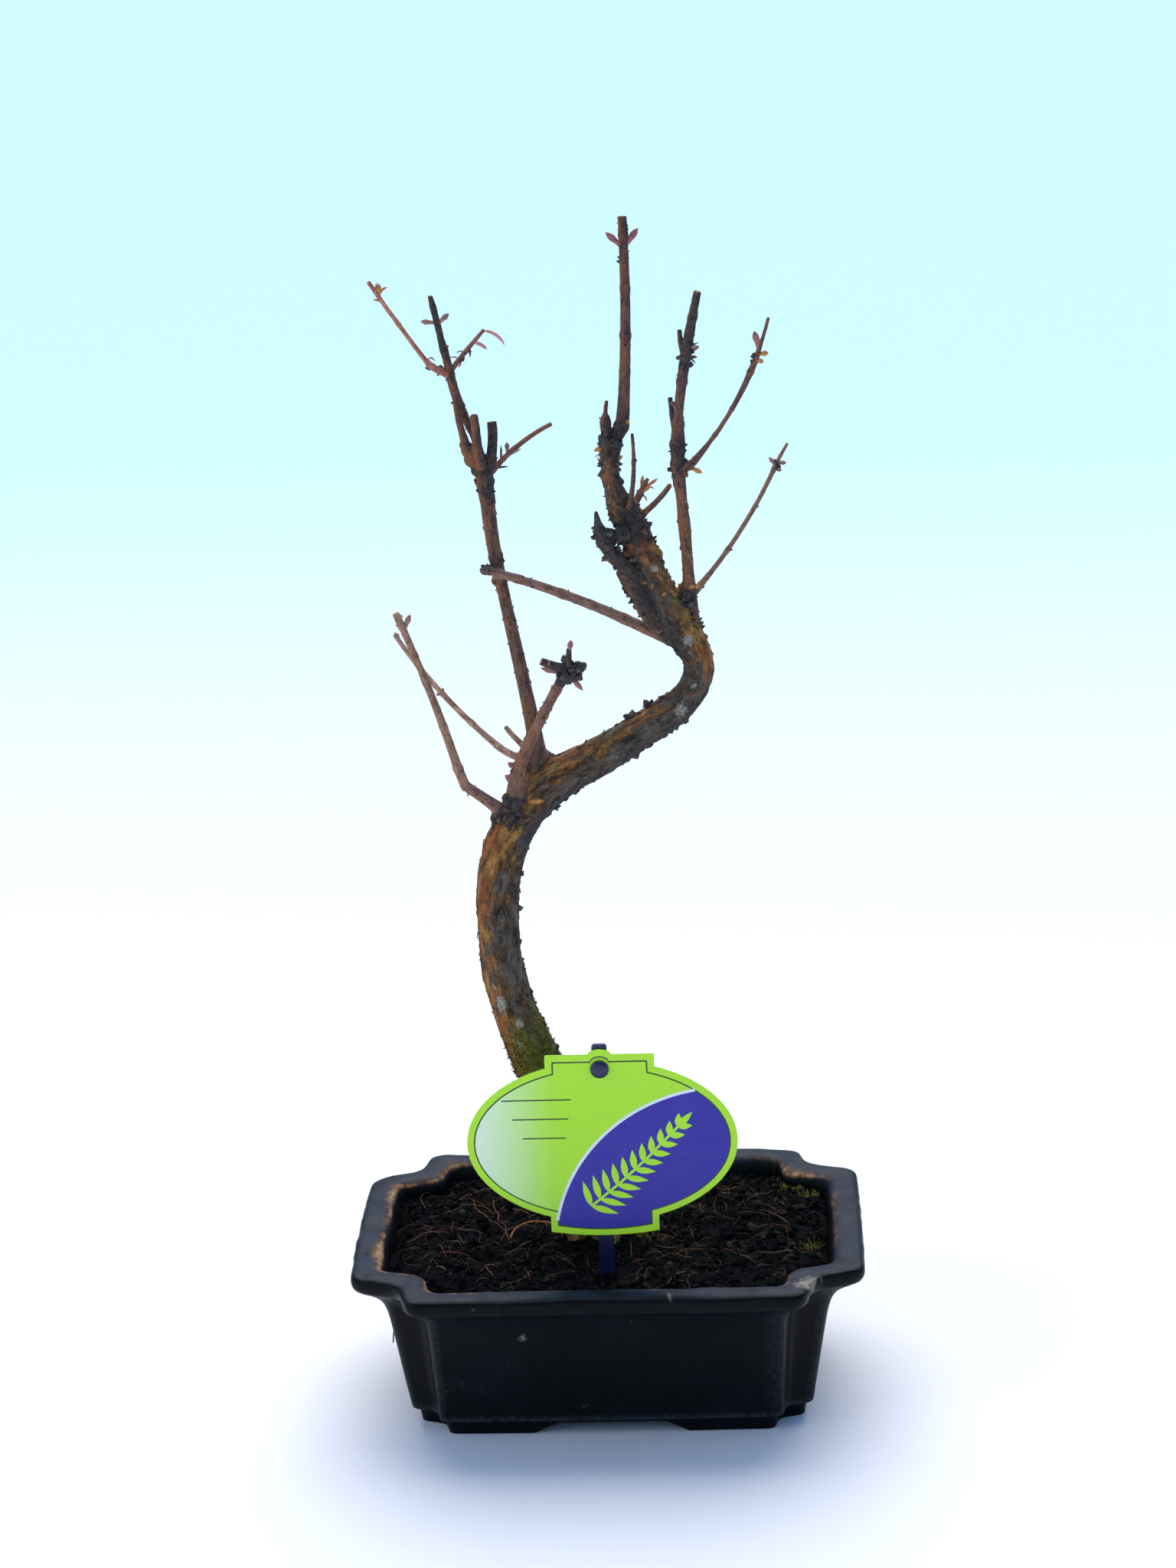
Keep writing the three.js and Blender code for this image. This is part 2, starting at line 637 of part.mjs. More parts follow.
// Each piece of wood makes room, with a clearance, for those set before it.
const wood = singles.map((name) => [name, name === stubLimbs[0] ? stubLimbs : [name], looks.bark]);
Object.entries(masses).forEach(([name, names]) => wood.push([name, names, looks.twig]));
const taken = [];
for (const [name, names, look] of wood) {
  let body = woodBody(names, 0);
  for (const other of taken.filter((room) => boxesMeet(body, room))) {
    body = body.subtract(other);
  }
  addPart(name, largest(body).simplify(0.02), look);
  taken.push(woodBody(names, clearance));
}

export default group;
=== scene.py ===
import math
import random
import bmesh
import bpy
import numpy as np
from mathutils import Matrix, Vector, geometry


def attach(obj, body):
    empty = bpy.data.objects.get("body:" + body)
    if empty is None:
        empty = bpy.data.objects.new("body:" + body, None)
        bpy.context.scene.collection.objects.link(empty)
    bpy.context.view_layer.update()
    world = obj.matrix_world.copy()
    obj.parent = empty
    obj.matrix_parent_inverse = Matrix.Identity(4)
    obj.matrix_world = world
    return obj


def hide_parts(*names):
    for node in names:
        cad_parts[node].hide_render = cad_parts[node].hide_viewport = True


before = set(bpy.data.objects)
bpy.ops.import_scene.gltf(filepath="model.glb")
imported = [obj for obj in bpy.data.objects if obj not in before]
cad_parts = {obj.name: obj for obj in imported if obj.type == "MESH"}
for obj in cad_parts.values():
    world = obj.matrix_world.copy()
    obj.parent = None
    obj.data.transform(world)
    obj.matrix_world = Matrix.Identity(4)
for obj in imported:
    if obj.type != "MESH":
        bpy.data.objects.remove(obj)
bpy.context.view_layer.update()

# Bare winter bonsai in its pot. Sizes are in millimetres until a mesh is made, angles in degrees.
mm = 0.001
clearance = 0.3
soilTop = 50.0


# Small tools for arrays and meshes

def smoothStep(low, high, value):
    t = np.clip((value - low) / (high - low), 0, 1)
    return t * t * (3 - 2 * t)


def cloudNoise(points, scale, seed):
    # smooth value noise from -1 to 1, one scale for each axis
    places = points * np.asarray(scale, dtype=float)
    cell = np.floor(places).astype(np.int64)
    part = places - cell
    blend = part * part * (3 - 2 * part)
    total = np.zeros(len(places))
    for corner in range(8):
        offset = np.array([corner & 1, corner >> 1 & 1, corner >> 2])
        key = (cell + offset) @ np.array([73856093, 19349663, 83492791]) + seed * 26544357
        key = (key ^ (key >> 13)) * 1274126177 & 0x7FFFFFFF
        value = ((key ^ (key >> 15)) & 0xFFFF) / 32768 - 1
        total += value * np.prod(np.where(offset, blend, 1 - blend), axis=1)
    return total


def fullTurn(sides):
    return np.linspace(0, 2 * np.pi, sides, endpoint=False)


def around(angle, right, back):
    angle = np.expand_dims(angle, -1)
    return np.cos(angle) * right + np.sin(angle) * back


def ringQuads(rings, sides):
    row = np.arange(rings - 1)[:, None] * sides
    j = np.arange(sides)[None]
    k = (j + 1) % sides
    return np.stack([row + j, row + k, row + sides + k, row + sides + j], -1).reshape(-1, 4)


def tubeShell(rings):
    # closed shell through rings of points, fan caps at both ends
    count, sides = rings.shape[:2]
    points = np.vstack([rings.reshape(-1, 3), rings[0].mean(0), rings[-1].mean(0)])
    j = np.arange(sides)
    k = (j + 1) % sides
    foot, last = count * sides, (count - 1) * sides
    lower = np.stack([np.full(sides, foot), k, j], 1)
    upper = np.stack([np.full(sides, foot + 1), last + j, last + k], 1)
    return points, ringQuads(count, sides), np.vstack([lower, upper])


def joinShells(shells):
    offset = 0
    points, quads, tris = [], [], []
    for shellPoints, shellQuads, shellTris in shells:
        points.append(shellPoints)
        quads.append(shellQuads.reshape(-1, 4) + offset)
        tris.append(shellTris.reshape(-1, 3) + offset)
        offset += len(shellPoints)
    return np.vstack(points), np.vstack(quads), np.vstack(tris)


def dealOut(shells, tags):
    # material number of every face once the shells are joined
    quads = np.repeat(tags, [len(shell[1]) for shell in shells])
    tris = np.repeat(tags, [len(shell[2]) for shell in shells])
    return np.concatenate([quads, tris]).astype(np.int32)


def makePiece(name, shell, materials, tags=None, smooth=True):
    points, quads, tris = shell
    mesh = bpy.data.meshes.new(name)
    mesh.from_pydata((points * mm).tolist(), [], quads.tolist() + tris.tolist())
    for material in materials:
        mesh.materials.append(material)
    if tags is not None:
        mesh.polygons.foreach_set("material_index", tags)
    mesh.polygons.foreach_set("use_smooth", np.full(len(mesh.polygons), smooth))
    mesh.update()
    piece = bpy.data.objects.new(name, mesh)
    bpy.context.scene.collection.objects.link(piece)
    return piece


def paint(piece, name, values):
    layer = piece.data.attributes.new(name, "FLOAT", "POINT")
    layer.data.foreach_set("value", np.asarray(values, dtype=np.float32))


def sharpen(piece, degrees):
    # edges steeper than this stay crisp under smooth shading
    work = bmesh.new()
    work.from_mesh(piece.data)
    for edge in work.edges:
        edge.smooth = edge.calc_face_angle(0.0) < math.radians(degrees)
    work.to_mesh(piece.data)
    work.free()


def settle(piece, slotName, *nodes):
    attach(piece, "root")
    if nodes:
        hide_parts(*nodes)
    print(piece.name, len(piece.data.polygons), "faces")


def settleMany(name, shells, tags, materials, slotName, smooth=True):
    settle(makePiece(name, joinShells(shells), materials, dealOut(shells, tags), smooth), slotName)


# Camera at the photograph's viewing angle

photoView = {
    "height": 2048,
    "focalPixels": 5000,
    "sensor": 36.0,
    "aim": (-1.6, 0.0, 197.4),
    "distance": 1157,
    "yaw": 2.7,
    "pitch": 17.3,
    "roll": -2.2,
}


def makeCamera():
    data = bpy.data.cameras.new("camera")
    data.sensor_width = photoView["sensor"]
    data.lens = photoView["focalPixels"] / photoView["height"] * photoView["sensor"]
    yaw, pitch, roll = (math.radians(photoView[key]) for key in ("yaw", "pitch", "roll"))
    back = Vector((math.sin(yaw) * math.cos(pitch), -math.cos(yaw) * math.cos(pitch), math.sin(pitch)))
    level = Vector((0, 0, 1)).cross(back).normalized()
    up = back.cross(level)
    right = math.cos(roll) * level + math.sin(roll) * up
    upright = math.cos(roll) * up - math.sin(roll) * level
    spot = (Vector(photoView["aim"]) + back * photoView["distance"]) * mm
    camera = bpy.data.objects.new("camera", data)
    axes = Matrix((right, upright, back)).transposed()
    camera.matrix_world = Matrix.Translation(spot) @ axes.to_4x4()
    bpy.context.scene.collection.objects.link(camera)
    bpy.context.scene.camera = camera
    print("camera set")


makeCamera()


# Node tools and the shared effects

def tint(code):
    # screen colour as six hex digits, to the linear colour that shaders take
    parts = [int(code[i:i + 2], 16) / 255 for i in (0, 2, 4)]
    return tuple(p / 12.92 if p <= 0.04045 else ((p + 0.055) / 1.055) ** 2.4 for p in parts) + (1.0,)


def addNode(tree, kind, inputs=None, **settings):
    made = tree.nodes.new(kind)
    for key, value in settings.items():
        setattr(made, key, value)
    for key, value in (inputs or {}).items():
        if isinstance(value, bpy.types.NodeSocket):
            tree.links.new(value, made.inputs[key])
        else:
            made.inputs[key].default_value = value
    return made


def mixColors(tree, factor, first, second, blend="MIX"):
    return addNode(tree, "ShaderNodeMix", {0: factor, 6: first, 7: second},
                   data_type="RGBA", blend_type=blend).outputs[2]


def rampBetween(tree, value, low, high, bottom=0.0, top=1.0):
    return addNode(tree, "ShaderNodeMapRange", {0: value, 1: low, 2: high, 3: bottom, 4: top},
                   interpolation_type="SMOOTHSTEP").outputs[0]


def calculate(tree, operation, first, second):
    return addNode(tree, "ShaderNodeMath", {0: first, 1: second}, operation=operation).outputs[0]


def times(tree, first, second):
    return calculate(tree, "MULTIPLY", first, second)


def plus(tree, first, second):
    return calculate(tree, "ADD", first, second)


def minus(tree, first, second):
    return calculate(tree, "SUBTRACT", first, second)


def greyOf(tree, value):
    return addNode(tree, "ShaderNodeCombineXYZ", {0: value, 1: value, 2: value}).outputs[0]


def noiseOf(tree, place, scale, detail=3.0, rough=0.55):
    return addNode(tree, "ShaderNodeTexNoise",
                   {"Vector": place, "Scale": scale, "Detail": detail, "Roughness": rough}).outputs["Fac"]


def objectPlace(tree):
    return addNode(tree, "ShaderNodeTexCoord").outputs["Object"]


def newGroup(name, inputs, outputs):
    tree = bpy.data.node_groups.new(name, "ShaderNodeTree")
    for title, kind, value in inputs:
        tree.interface.new_socket(title, in_out="INPUT", socket_type=kind).default_value = value
    for title, kind in outputs:
        tree.interface.new_socket(title, in_out="OUTPUT", socket_type=kind)
    return tree, tree.nodes.new("NodeGroupInput").outputs, tree.nodes.new("NodeGroupOutput")


def buildFibreGroup():
    # two tones mottled together, with fine grain for the bump
    tree, given, out = newGroup(
        "fibreGrain",
        [("Place", "NodeSocketVector", (0.0, 0.0, 0.0)),
         ("Dark", "NodeSocketColor", tint("3a2a20")), ("Light", "NodeSocketColor", tint("8a6a48")),
         ("Scale", "NodeSocketFloat", 400.0), ("Spread", "NodeSocketFloat", 0.2)],
        [("Color", "NodeSocketColor"), ("Height", "NodeSocketFloat")])
    mottle = noiseOf(tree, given["Place"], given["Scale"], 5.0, 0.65)
    fine = noiseOf(tree, given["Place"], times(tree, given["Scale"], 4.5), 3.0, 0.7)
    mixed = plus(tree, times(tree, mottle, 0.68), times(tree, fine, 0.32))
    low = minus(tree, 0.5, given["Spread"])
    high = plus(tree, 0.5, given["Spread"])
    factor = rampBetween(tree, mixed, low, high)
    tree.links.new(mixColors(tree, factor, given["Dark"], given["Light"]), out.inputs["Color"])
    tree.links.new(mixed, out.inputs["Height"])
    return tree


def buildDustGroup():
    # thin film in clouds, plus sparse pale specks
    tree, given, out = newGroup(
        "dustFilm",
        [("Scale", "NodeSocketFloat", 60.0), ("Film", "NodeSocketFloat", 0.5),
         ("Specks", "NodeSocketFloat", 0.5)],
        [("Mask", "NodeSocketFloat"), ("Height", "NodeSocketFloat")])
    place = objectPlace(tree)
    film = rampBetween(tree, noiseOf(tree, place, given["Scale"], 6.0, 0.7), 0.42, 0.78)
    speckScale = times(tree, given["Scale"], 16.0)
    speck = rampBetween(tree, noiseOf(tree, place, speckScale, 1.0, 0.5), 0.7, 0.76)
    mask = plus(tree, times(tree, film, given["Film"]), times(tree, speck, given["Specks"]))
    tree.links.new(calculate(tree, "MINIMUM", mask, 1.0), out.inputs["Mask"])
    tree.links.new(noiseOf(tree, place, speckScale, 4.0, 0.6), out.inputs["Height"])
    return tree


fibreGrain = buildFibreGroup()
dustFilm = buildDustGroup()


def newMaterial(name):
    material = bpy.data.materials.new(name)
    material.use_nodes = True
    tree = material.node_tree
    return material, tree, tree.nodes["Principled BSDF"].inputs


def grain(tree, place, dark, light, scale, spread=0.2):
    return addNode(tree, "ShaderNodeGroup", {"Place": place, "Dark": tint(dark), "Light": tint(light),
                                             "Scale": scale, "Spread": spread},
                   node_tree=fibreGrain).outputs


def dust(tree, scale, film, specks):
    return addNode(tree, "ShaderNodeGroup", {"Scale": scale, "Film": film, "Specks": specks},
                   node_tree=dustFilm).outputs


def painted(tree, name, output="Fac"):
    return addNode(tree, "ShaderNodeAttribute", attribute_name=name).outputs[output]


def bumpFrom(tree, height, strength, distance):
    return addNode(tree, "ShaderNodeBump",
                   {"Height": height, "Strength": strength, "Distance": distance * mm}).outputs["Normal"]


def grainMaterial(name, dark, light, scale, roughness, bump=0.5, shine=0.4):
    # plain two-tone grain for the many small pieces
    material, tree, shader = newMaterial(name)
    fibres = grain(tree, objectPlace(tree), dark, light, scale)
    tree.links.new(fibres["Color"], shader["Base Color"])
    shader["Roughness"].default_value = roughness
    shader["Specular IOR Level"].default_value = shine
    tree.links.new(bumpFrom(tree, fibres["Height"], bump, 0.3), shader["Normal"])
    return material


# Limbs: the same rule as the solids, followed here to finer wood
# heading: mm along the limb, lean from upright to the right, swing to the back. girth: mm along, diameter.

limbs = {
    "trunk": {
        "from": (-2.5, 0, soilTop + clearance),
        "heading": [
            (0, -13, -1), (38.5, -19, -3), (71.5, -19, -7), (107, -3, -5), (133.5, 17, 9), (148.5, 43, 16),
            (166.5, 65, 14), (191.5, 62, 9), (202, 57, 7), (214, 19, -5), (225.5, -31, -11),
            (243.5, -21, -13), (266, -22, -7)],
        "girth": [
            (0, 20), (10, 17.4), (25, 15.8), (62, 14.6), (80, 13.2), (99, 12.3), (131, 12.8), (161, 12.4),
            (183, 10.8), (202, 9.8), (214, 8.5), (222, 8.9), (232, 11.6), (243, 9.6), (253, 8.4), (260, 9),
            (266, 8.7)],
    },
    "left_bough": {
        "on": "trunk", "at": 156,
        "heading": [(0, -9, 26), (34.5, -11, 8), (68.5, -11, 11), (89, -3, 10)],
        "girth": [(0, 9), (8, 6.4), (13, 5.1), (31.5, 4.3), (60, 3.8), (72.5, 4.1), (89, 4.5)],
    },
    "crossing_bough": {
        "on": "trunk", "at": 224.5,
        "heading": [(0, -63, -14), (18.5, -64, 5), (69, -76, 9)],
        "girth": [(0, 4.4), (12, 3.6), (29, 3.2), (53, 2.8), (67.5, 2.6), (69, 1.4)],
    },
    "spur_bough": {
        "on": "trunk", "at": 145,
        "heading": [(0, -11, -21), (23, 22, -26), (59.5, 28, -31)],
        "girth": [(0, 7.5), (12, 5.6), (19, 4.2), (30, 3.6), (49.5, 3.1), (59.5, 3.1)],
    },
    "right_bough": {
        "on": "trunk", "at": 228,
        "heading": [(0, 14, 14), (11, -1, -19), (49.5, -4, -17), (53.5, -6, -13)],
        "girth": [(0, 6.5), (8, 5), (17.5, 4), (27, 3.3), (38, 3.8), (47.5, 3.3), (53.5, 3.8)],
    },
    "low_bough": {
        "on": "trunk", "at": 143.5,
        "heading": [(0, -50, -9), (20.5, -47, -19)],
        "girth": [(0, 4.6), (13, 3.5), (20.5, 3.2)],
    },
    "low_twig": {
        "on": "low_bough", "at": 20.5,
        "heading": [(0, -18, -14), (9, -14, -10), (60, -20, -9)],
        "girth": [(0, 3.1), (11, 2.7), (23.5, 2.5), (42.5, 2.1), (60, 2.2)],
    },
    "low_inner_twig": {
        "on": "left_bough", "at": 9,
        "heading": [(0, -96, 21), (15, -54, 24), (61.5, -34, 10)],
        "girth": [(0, 2.8), (11, 2.3), (23, 1.9), (61.5, 1.5)],
    },
    "short_stub": {
        "on": "left_bough", "at": 10.5,
        "heading": [(0, -56, -6), (14.5, -28, -20)],
        "girth": [(0, 2.2), (14.5, 1.5)],
    },
    "dark_stub": {
        "on": "trunk", "at": 249,
        "heading": [(0, -66, -25), (18.5, -31, -27), (27, -18, -16), (35, -2, -10)],
        "girth": [(0, 5), (12.5, 4.2), (24.5, 4.5), (29, 3.7), (32, 2.1), (35, 1.2)],
    },
    "right_low_twig": {
        "on": "right_bough", "at": 14,
        "heading": [(0, 49, 34), (50, 29, 33), (59, 35, 20)],
        "girth": [(0, 2.4), (11, 1.6), (36, 1.4), (50, 1.5), (59, 0.9)],
    },
    "left_knob": {
        "on": "left_bough", "at": 89,
        "heading": [(0, -8, 0), (8.5, -6, 4)],
        "girth": [(0, 4.7), (8.5, 5.4)],
    },
    "left_stem": {
        "on": "left_knob", "at": 8.5,
        "heading": [(0, -6, 6), (8, -14, 8), (14, -25, 8), (19, -23, 8), (32.5, -8, 8)],
        "girth": [(0, 5), (5, 3.5), (9, 2.4), (12, 2.1), (16, 2.5), (19, 3.0), (28.5, 2.9), (32.5, 2.8)],
    },
    "left_side_stem": {
        "on": "left_stem", "at": 5.5,
        "heading": [(0, -63, -46), (7.5, -16, -3), (22.5, -3, 20)],
        "girth": [(0, 2.6), (7.5, 2.3), (22.5, 1.8)],
    },
    "left_mid_shoot": {
        "on": "left_stem", "at": 32,
        "heading": [(0, -12, -6), (24, -10, -4)],
        "girth": [(0, 2.6), (11, 2.2), (24, 1.7)],
    },
    "left_outer_twig": {
        "on": "left_stem", "at": 31,
        "heading": [(0, -65, -14), (4, -58, -29), (10, -31, -21), (40.5, -30, -10)],
        "girth": [(0, 2.4), (6, 2.2), (10, 1.5), (40.5, 1.3)],
    },
    "left_inner_twig": {
        "on": "left_stem", "at": 32,
        "heading": [(0, 41, 28), (17.5, 46, 38)],
        "girth": [(0, 1.8), (17.5, 1.2)],
    },
    "left_front_stub": {
        "on": "left_knob", "at": 8,
        "heading": [(0, -8, -19), (20.5, -1, -15)],
        "girth": [(0, 3.2), (20.5, 2.5)],
    },
    "left_back_stub": {
        "on": "left_knob", "at": 7,
        "heading": [(0, 35, 14), (5, 14, 11), (17.5, -6, 8)],
        "girth": [(0, 3.6), (7, 3), (17.5, 2.8)],
    },
    "left_fork_twig": {
        "on": "left_knob", "at": 6,
        "heading": [(0, 39, 25), (28, 70, 27)],
        "girth": [(0, 2), (12, 1.6), (28, 1.3)],
    },
    "centre_stem": {
        "on": "trunk", "at": 266,
        "heading": [(0, -19, 4), (7, -27, -3), (31, 12, 2)],
        "girth": [(0, 8.6), (10, 7.9), (17, 5), (24, 5.4), (31, 7.4)],
    },
    "leader": {
        "on": "centre_stem", "at": 30,
        "heading": [(0, 53, -6), (8, 5, 6), (66.5, -2, 5)],
        "girth": [(0, 4.6), (8, 3.9), (15, 3.5), (40.5, 3), (66.5, 2.8)],
    },
    "peg_stub": {
        "on": "centre_stem", "at": 28,
        "heading": [(0, -15, -15), (15, 12, -9)],
        "girth": [(0, 3.6), (8, 3.2), (10, 2.5), (11, 1.4), (15, 1.1)],
    },
    "dead_twig": {
        "on": "centre_stem", "at": 8.5,
        "heading": [(0, 81, -65), (6, 11, -22), (28.5, -4, -1)],
        "girth": [(0, 1.8), (28.5, 1)],
    },
    "fork_twig": {
        "on": "centre_stem", "at": 6,
        "heading": [(0, 37, 22), (14, 30, 43)],
        "girth": [(0, 2.6), (9, 2), (14, 1.2)],
    },
    "inner_twig": {
        "on": "centre_stem", "at": 4,
        "heading": [(0, 69, 37), (19.5, 42, 44)],
        "girth": [(0, 2.2), (10.5, 1.8), (19.5, 1.6)],
    },
    "right_stem": {
        "on": "right_bough", "at": 53.5,
        "heading": [(0, -3, -7), (10.5, 1, -11), (33.5, 10, -2), (58.5, 13, -7)],
        "girth": [(0, 3.8), (12, 4.5), (22, 2.8), (37.5, 3.2), (46.5, 3), (52.5, 2.5), (58.5, 2.1)],
    },
    "right_arc_twig": {
        "on": "right_stem", "at": 3.5,
        "heading": [(0, 63, -27), (7.5, 37, -32), (19, 34, -25), (62, 14, -15)],
        "girth": [(0, 2.6), (7, 2.2), (16, 1.4), (27, 1.3), (38, 1.7), (47, 1.9), (54, 1.2), (62, 1)],
    },
    "right_side_stub": {
        "on": "right_stem", "at": 12,
        "heading": [(0, -11, 10), (14, -5, 19)],
        "girth": [(0, 2), (14, 1.4)],
    },
    "right_top_stub": {
        "on": "right_stem", "at": 38,
        "heading": [(0, -20, 24), (9, -1, 29)],
        "girth": [(0, 2), (9, 1.4)],
    },
    "spur_core": {
        "on": "spur_bough", "at": 59.5,
        "heading": [(0, 28, -27), (6, 28, -27)],
        "girth": [(0, 3.1), (6, 4)],
    },
    "spur_cut": {
        "on": "spur_core", "at": 5,
        "heading": [(0, -68, -12), (8.5, -66, -8)],
        "girth": [(0, 2.6), (8.5, 2.3)],
    },
    "spur_shoot": {
        "on": "spur_core", "at": 5.5,
        "heading": [(0, 6, -20), (7, 2, -12)],
        "girth": [(0, 2.4), (7, 1.4)],
    },
    "spur_knuckle": {
        "on": "spur_core", "at": 5.5,
        "heading": [(0, 85, -25), (5, 80, -20)],
        "girth": [(0, 2.6), (5, 2)],
    },
    "stub_foot": {
        "from": (21.1, 1.2, 243.8),
        "heading": [(0, -25, -12), (12, -24, -11), (18, -28, -14), (24, -32, -14)],
        "girth": [(0, 3), (5, 4.6), (14, 5), (24, 4)],
    },
    "stub_bridge": {
        "on": "dark_stub", "at": 25,
        "heading": [(0, 78, 14), (7.5, 66, 26)],
        "girth": [(0, 3.2), (7.5, 3.8)],
    },
}

# knots: limb, mm along it, side (0 right, 90 back, 180 left), distance from the axis, radius
knots = [
    ("trunk", 150, 170, 5.4, 2.6), ("trunk", 142, 185, 5.6, 2.6), ("trunk", 258, 0, 3.6, 1.9),
    ("trunk", 236, 90, 4.6, 3), ("trunk", 88, 60, 5.2, 3.2), ("centre_stem", 20, 180, 1.7, 1.7),
    ("centre_stem", 11, 0, 2.4, 1.8), ("left_side_stem", 6.5, 180, 0.8, 1.3),
    ("right_bough", 17, 180, 1.4, 2), ("right_stem", 12, 180, 1, 1.8),
    ("crossing_bough", 66.5, 0, 0.3, 1.7), ("left_bough", 65, 180, 2.0, 1.15),
    ("left_knob", 6, 90, 1.2, 3), ("left_bough", 15, 180, 1.8, 2.3), ("left_bough", 9, 0, 2.0, 2.6),
]

# collars of thick bark where limbs branch off or meet, in the same columns
collars = [
    ("right_bough", 15, 235, 2.0, 1.9), ("right_bough", 12, 210, 2.6, 1.8),
    ("right_bough", 17.5, 240, 1.4, 1.3), ("spur_bough", 8.5, 225, 1.6, 1.9),
    ("low_bough", 4, 270, 1.9, 2.3), ("trunk", 147.6, 270, 4.8, 2.0), ("left_bough", 6.4, 188, 4.6, 2.6),
    ("left_bough", 10, 185, 2.2, 2.2), ("left_bough", 67, 270, 1.9, 1.9),
    ("left_bough", 68.5, 215, 2.2, 1.5), ("left_bough", 72.4, 325, 1.3, 1.5),
    ("left_bough", 72, 200, 0.9, 1.6), ("left_side_stem", 4, 180, 0.4, 2.5),
    ("left_side_stem", 1.5, 180, 2.0, 2.5), ("left_stem", 1.5, 180, 1.2, 2.3),
    ("crossing_bough", 67.4, 180, 0.3, 1.5),
]

axes = {}


def lookUp(rows, far, column):
    return np.interp(far, [row[0] for row in rows], [row[column] for row in rows])


def lengthOf(name):
    return limbs[name]["heading"][-1][0]


def headingAt(name, far):
    lean = np.radians(lookUp(limbs[name]["heading"], far, 1))
    swing = np.radians(lookUp(limbs[name]["heading"], far, 2))
    return np.stack([np.sin(lean) * np.cos(swing), np.sin(swing), np.cos(lean) * np.cos(swing)], -1)


def axisOf(name):
    # stations every half millimetre and the limb's axis there
    if name not in axes:
        limb = limbs[name]
        count = round(lengthOf(name) / 0.5)
        stride = lengthOf(name) / count
        start = pointAt(limb["on"], limb["at"]) if "on" in limb else np.array(limb["from"], dtype=float)
        moves = headingAt(name, (np.arange(count) + 0.5) * stride) * stride
        axes[name] = np.arange(count + 1) * stride, np.vstack([start, start + np.cumsum(moves, axis=0)])
    return axes[name]


def pointAt(name, far):
    stations, points = axisOf(name)
    place = np.stack([np.interp(far, stations, points[:, k]) for k in range(3)], -1)
    before = np.minimum(far, 0)
    return place + np.expand_dims(before, -1) * headingAt(name, far)


def acrossOf(along):
    right = np.cross(np.array([0.0, 1.0, 0.0]), along)
    right /= np.linalg.norm(right, axis=-1, keepdims=True)
    return right, np.cross(along, right)


def sideAt(name, far, angle):
    return around(angle, *acrossOf(headingAt(name, far)))


def besideLimb(name, far, side, distance):
    return pointAt(name, far) + distance * sideAt(name, far, math.radians(side))


def girthAt(name, far):
    return lookUp(limbs[name]["girth"], far, 1)


def nodesOf(name):
    # places where leaves stood, a little swollen
    dice = random.Random("nodes of " + name)
    places = []
    far = dice.uniform(4, 9)
    while far < lengthOf(name) - 3:
        places.append(far)
        far += dice.uniform(9, 17)
    return places


def radiusAt(name, far, angle):
    girth = girthAt(name, far)
    age = np.clip((girth - 3) / 8, 0, 1)
    ribs = 0.05 * np.cos(3 * angle + 0.11 * far) + 0.035 * np.cos(5 * angle - 0.17 * far)
    flare = np.exp(-np.maximum(far, 0) / 9) if name == "trunk" else 0.0
    roots = 0.16 + 0.2 * np.cos(5 * angle + 0.6)
    swell = 0.0
    if name != "trunk" and limbs[name]["girth"][0][1] < 8:
        for place in nodesOf(name):
            swell = swell + 0.13 * np.exp(-((far - place) / 1.0) ** 2) * (1 + 0.6 * np.cos(2 * angle + place))
    return girth / 2 * (1 + age * ribs + flare * roots + swell)


def limbShell(name, sides, step, sunk):
    count = max(4, round((lengthOf(name) + sunk) / step))
    far = np.linspace(-sunk, lengthOf(name), count)
    angle = fullTurn(sides)
    right, back = acrossOf(headingAt(name, far))
    radius = radiusAt(name, far[:, None], angle[None])[..., None]
    return tubeShell(pointAt(name, far)[:, None] + radius * around(angle, right[:, None], back[:, None]))


def ballShell(middle, along, radius, stretch, sides=14):
    # ellipsoid with its long axis along the limb
    right, back = acrossOf(np.asarray(along, dtype=float))
    turn = np.linspace(0.12, np.pi - 0.12, 9)
    out = around(fullTurn(sides), right, back)
    rings = [middle - along * stretch * radius * np.cos(t) + out * radius * np.sin(t) for t in turn]
    return tubeShell(np.array(rings))


# Bark: relief and patches worked out along and around each limb

bark = {
    "crustHeight": 0.46,
    "fibreHeight": 0.14,
    "pimpleHeight": 0.17,
    "lumpHeight": 0.75,
    "twigHeight": 0.06,
    "squeeze": 0.38,          # bark pattern runs long along the limb
    "youngGirth": 4.8,        # thinner wood is smooth, thicker by the next value is fully old
    "ageing": 4.5,
    "apart": 53.7,            # keeps one limb's pattern off the next
    # limbs other than the trunk get the same painted light and shade, pale on the lit side and dark crust
    # away from it
    "plainSide": 200,         # limbs other than the trunk: lit side, dark cover, how much the sides differ
    "plainCover": 0.3,
    "plainDiffer": 0.58,
    "cutDepth": 0.12,
}

# painted light and shade: pale smooth ochre bark on the lit side, dark crust away from it; mm along the
# trunk, lit side, dark bark over it, how much the sides differ
litSides = [
    (0, 198, 0.6, 0.5), (40, 198, 0.45, 0.6), (70, 198, 0.4, 0.7), (110, 203, 0.3, 0.75),
    (142, 205, 0.36, 0.8), (156, 200, 1.0, 1.4), (170, 198, 1.25, 1.5), (196, 198, 1.3, 1.5),
    (206, 220, 1.1, 0.8), (216, 300, 0.95, 0.55), (226, 318, 0.5, 0.65), (244, 320, 0.25, 0.6),
    (266, 290, 0.45, 0.6),
]

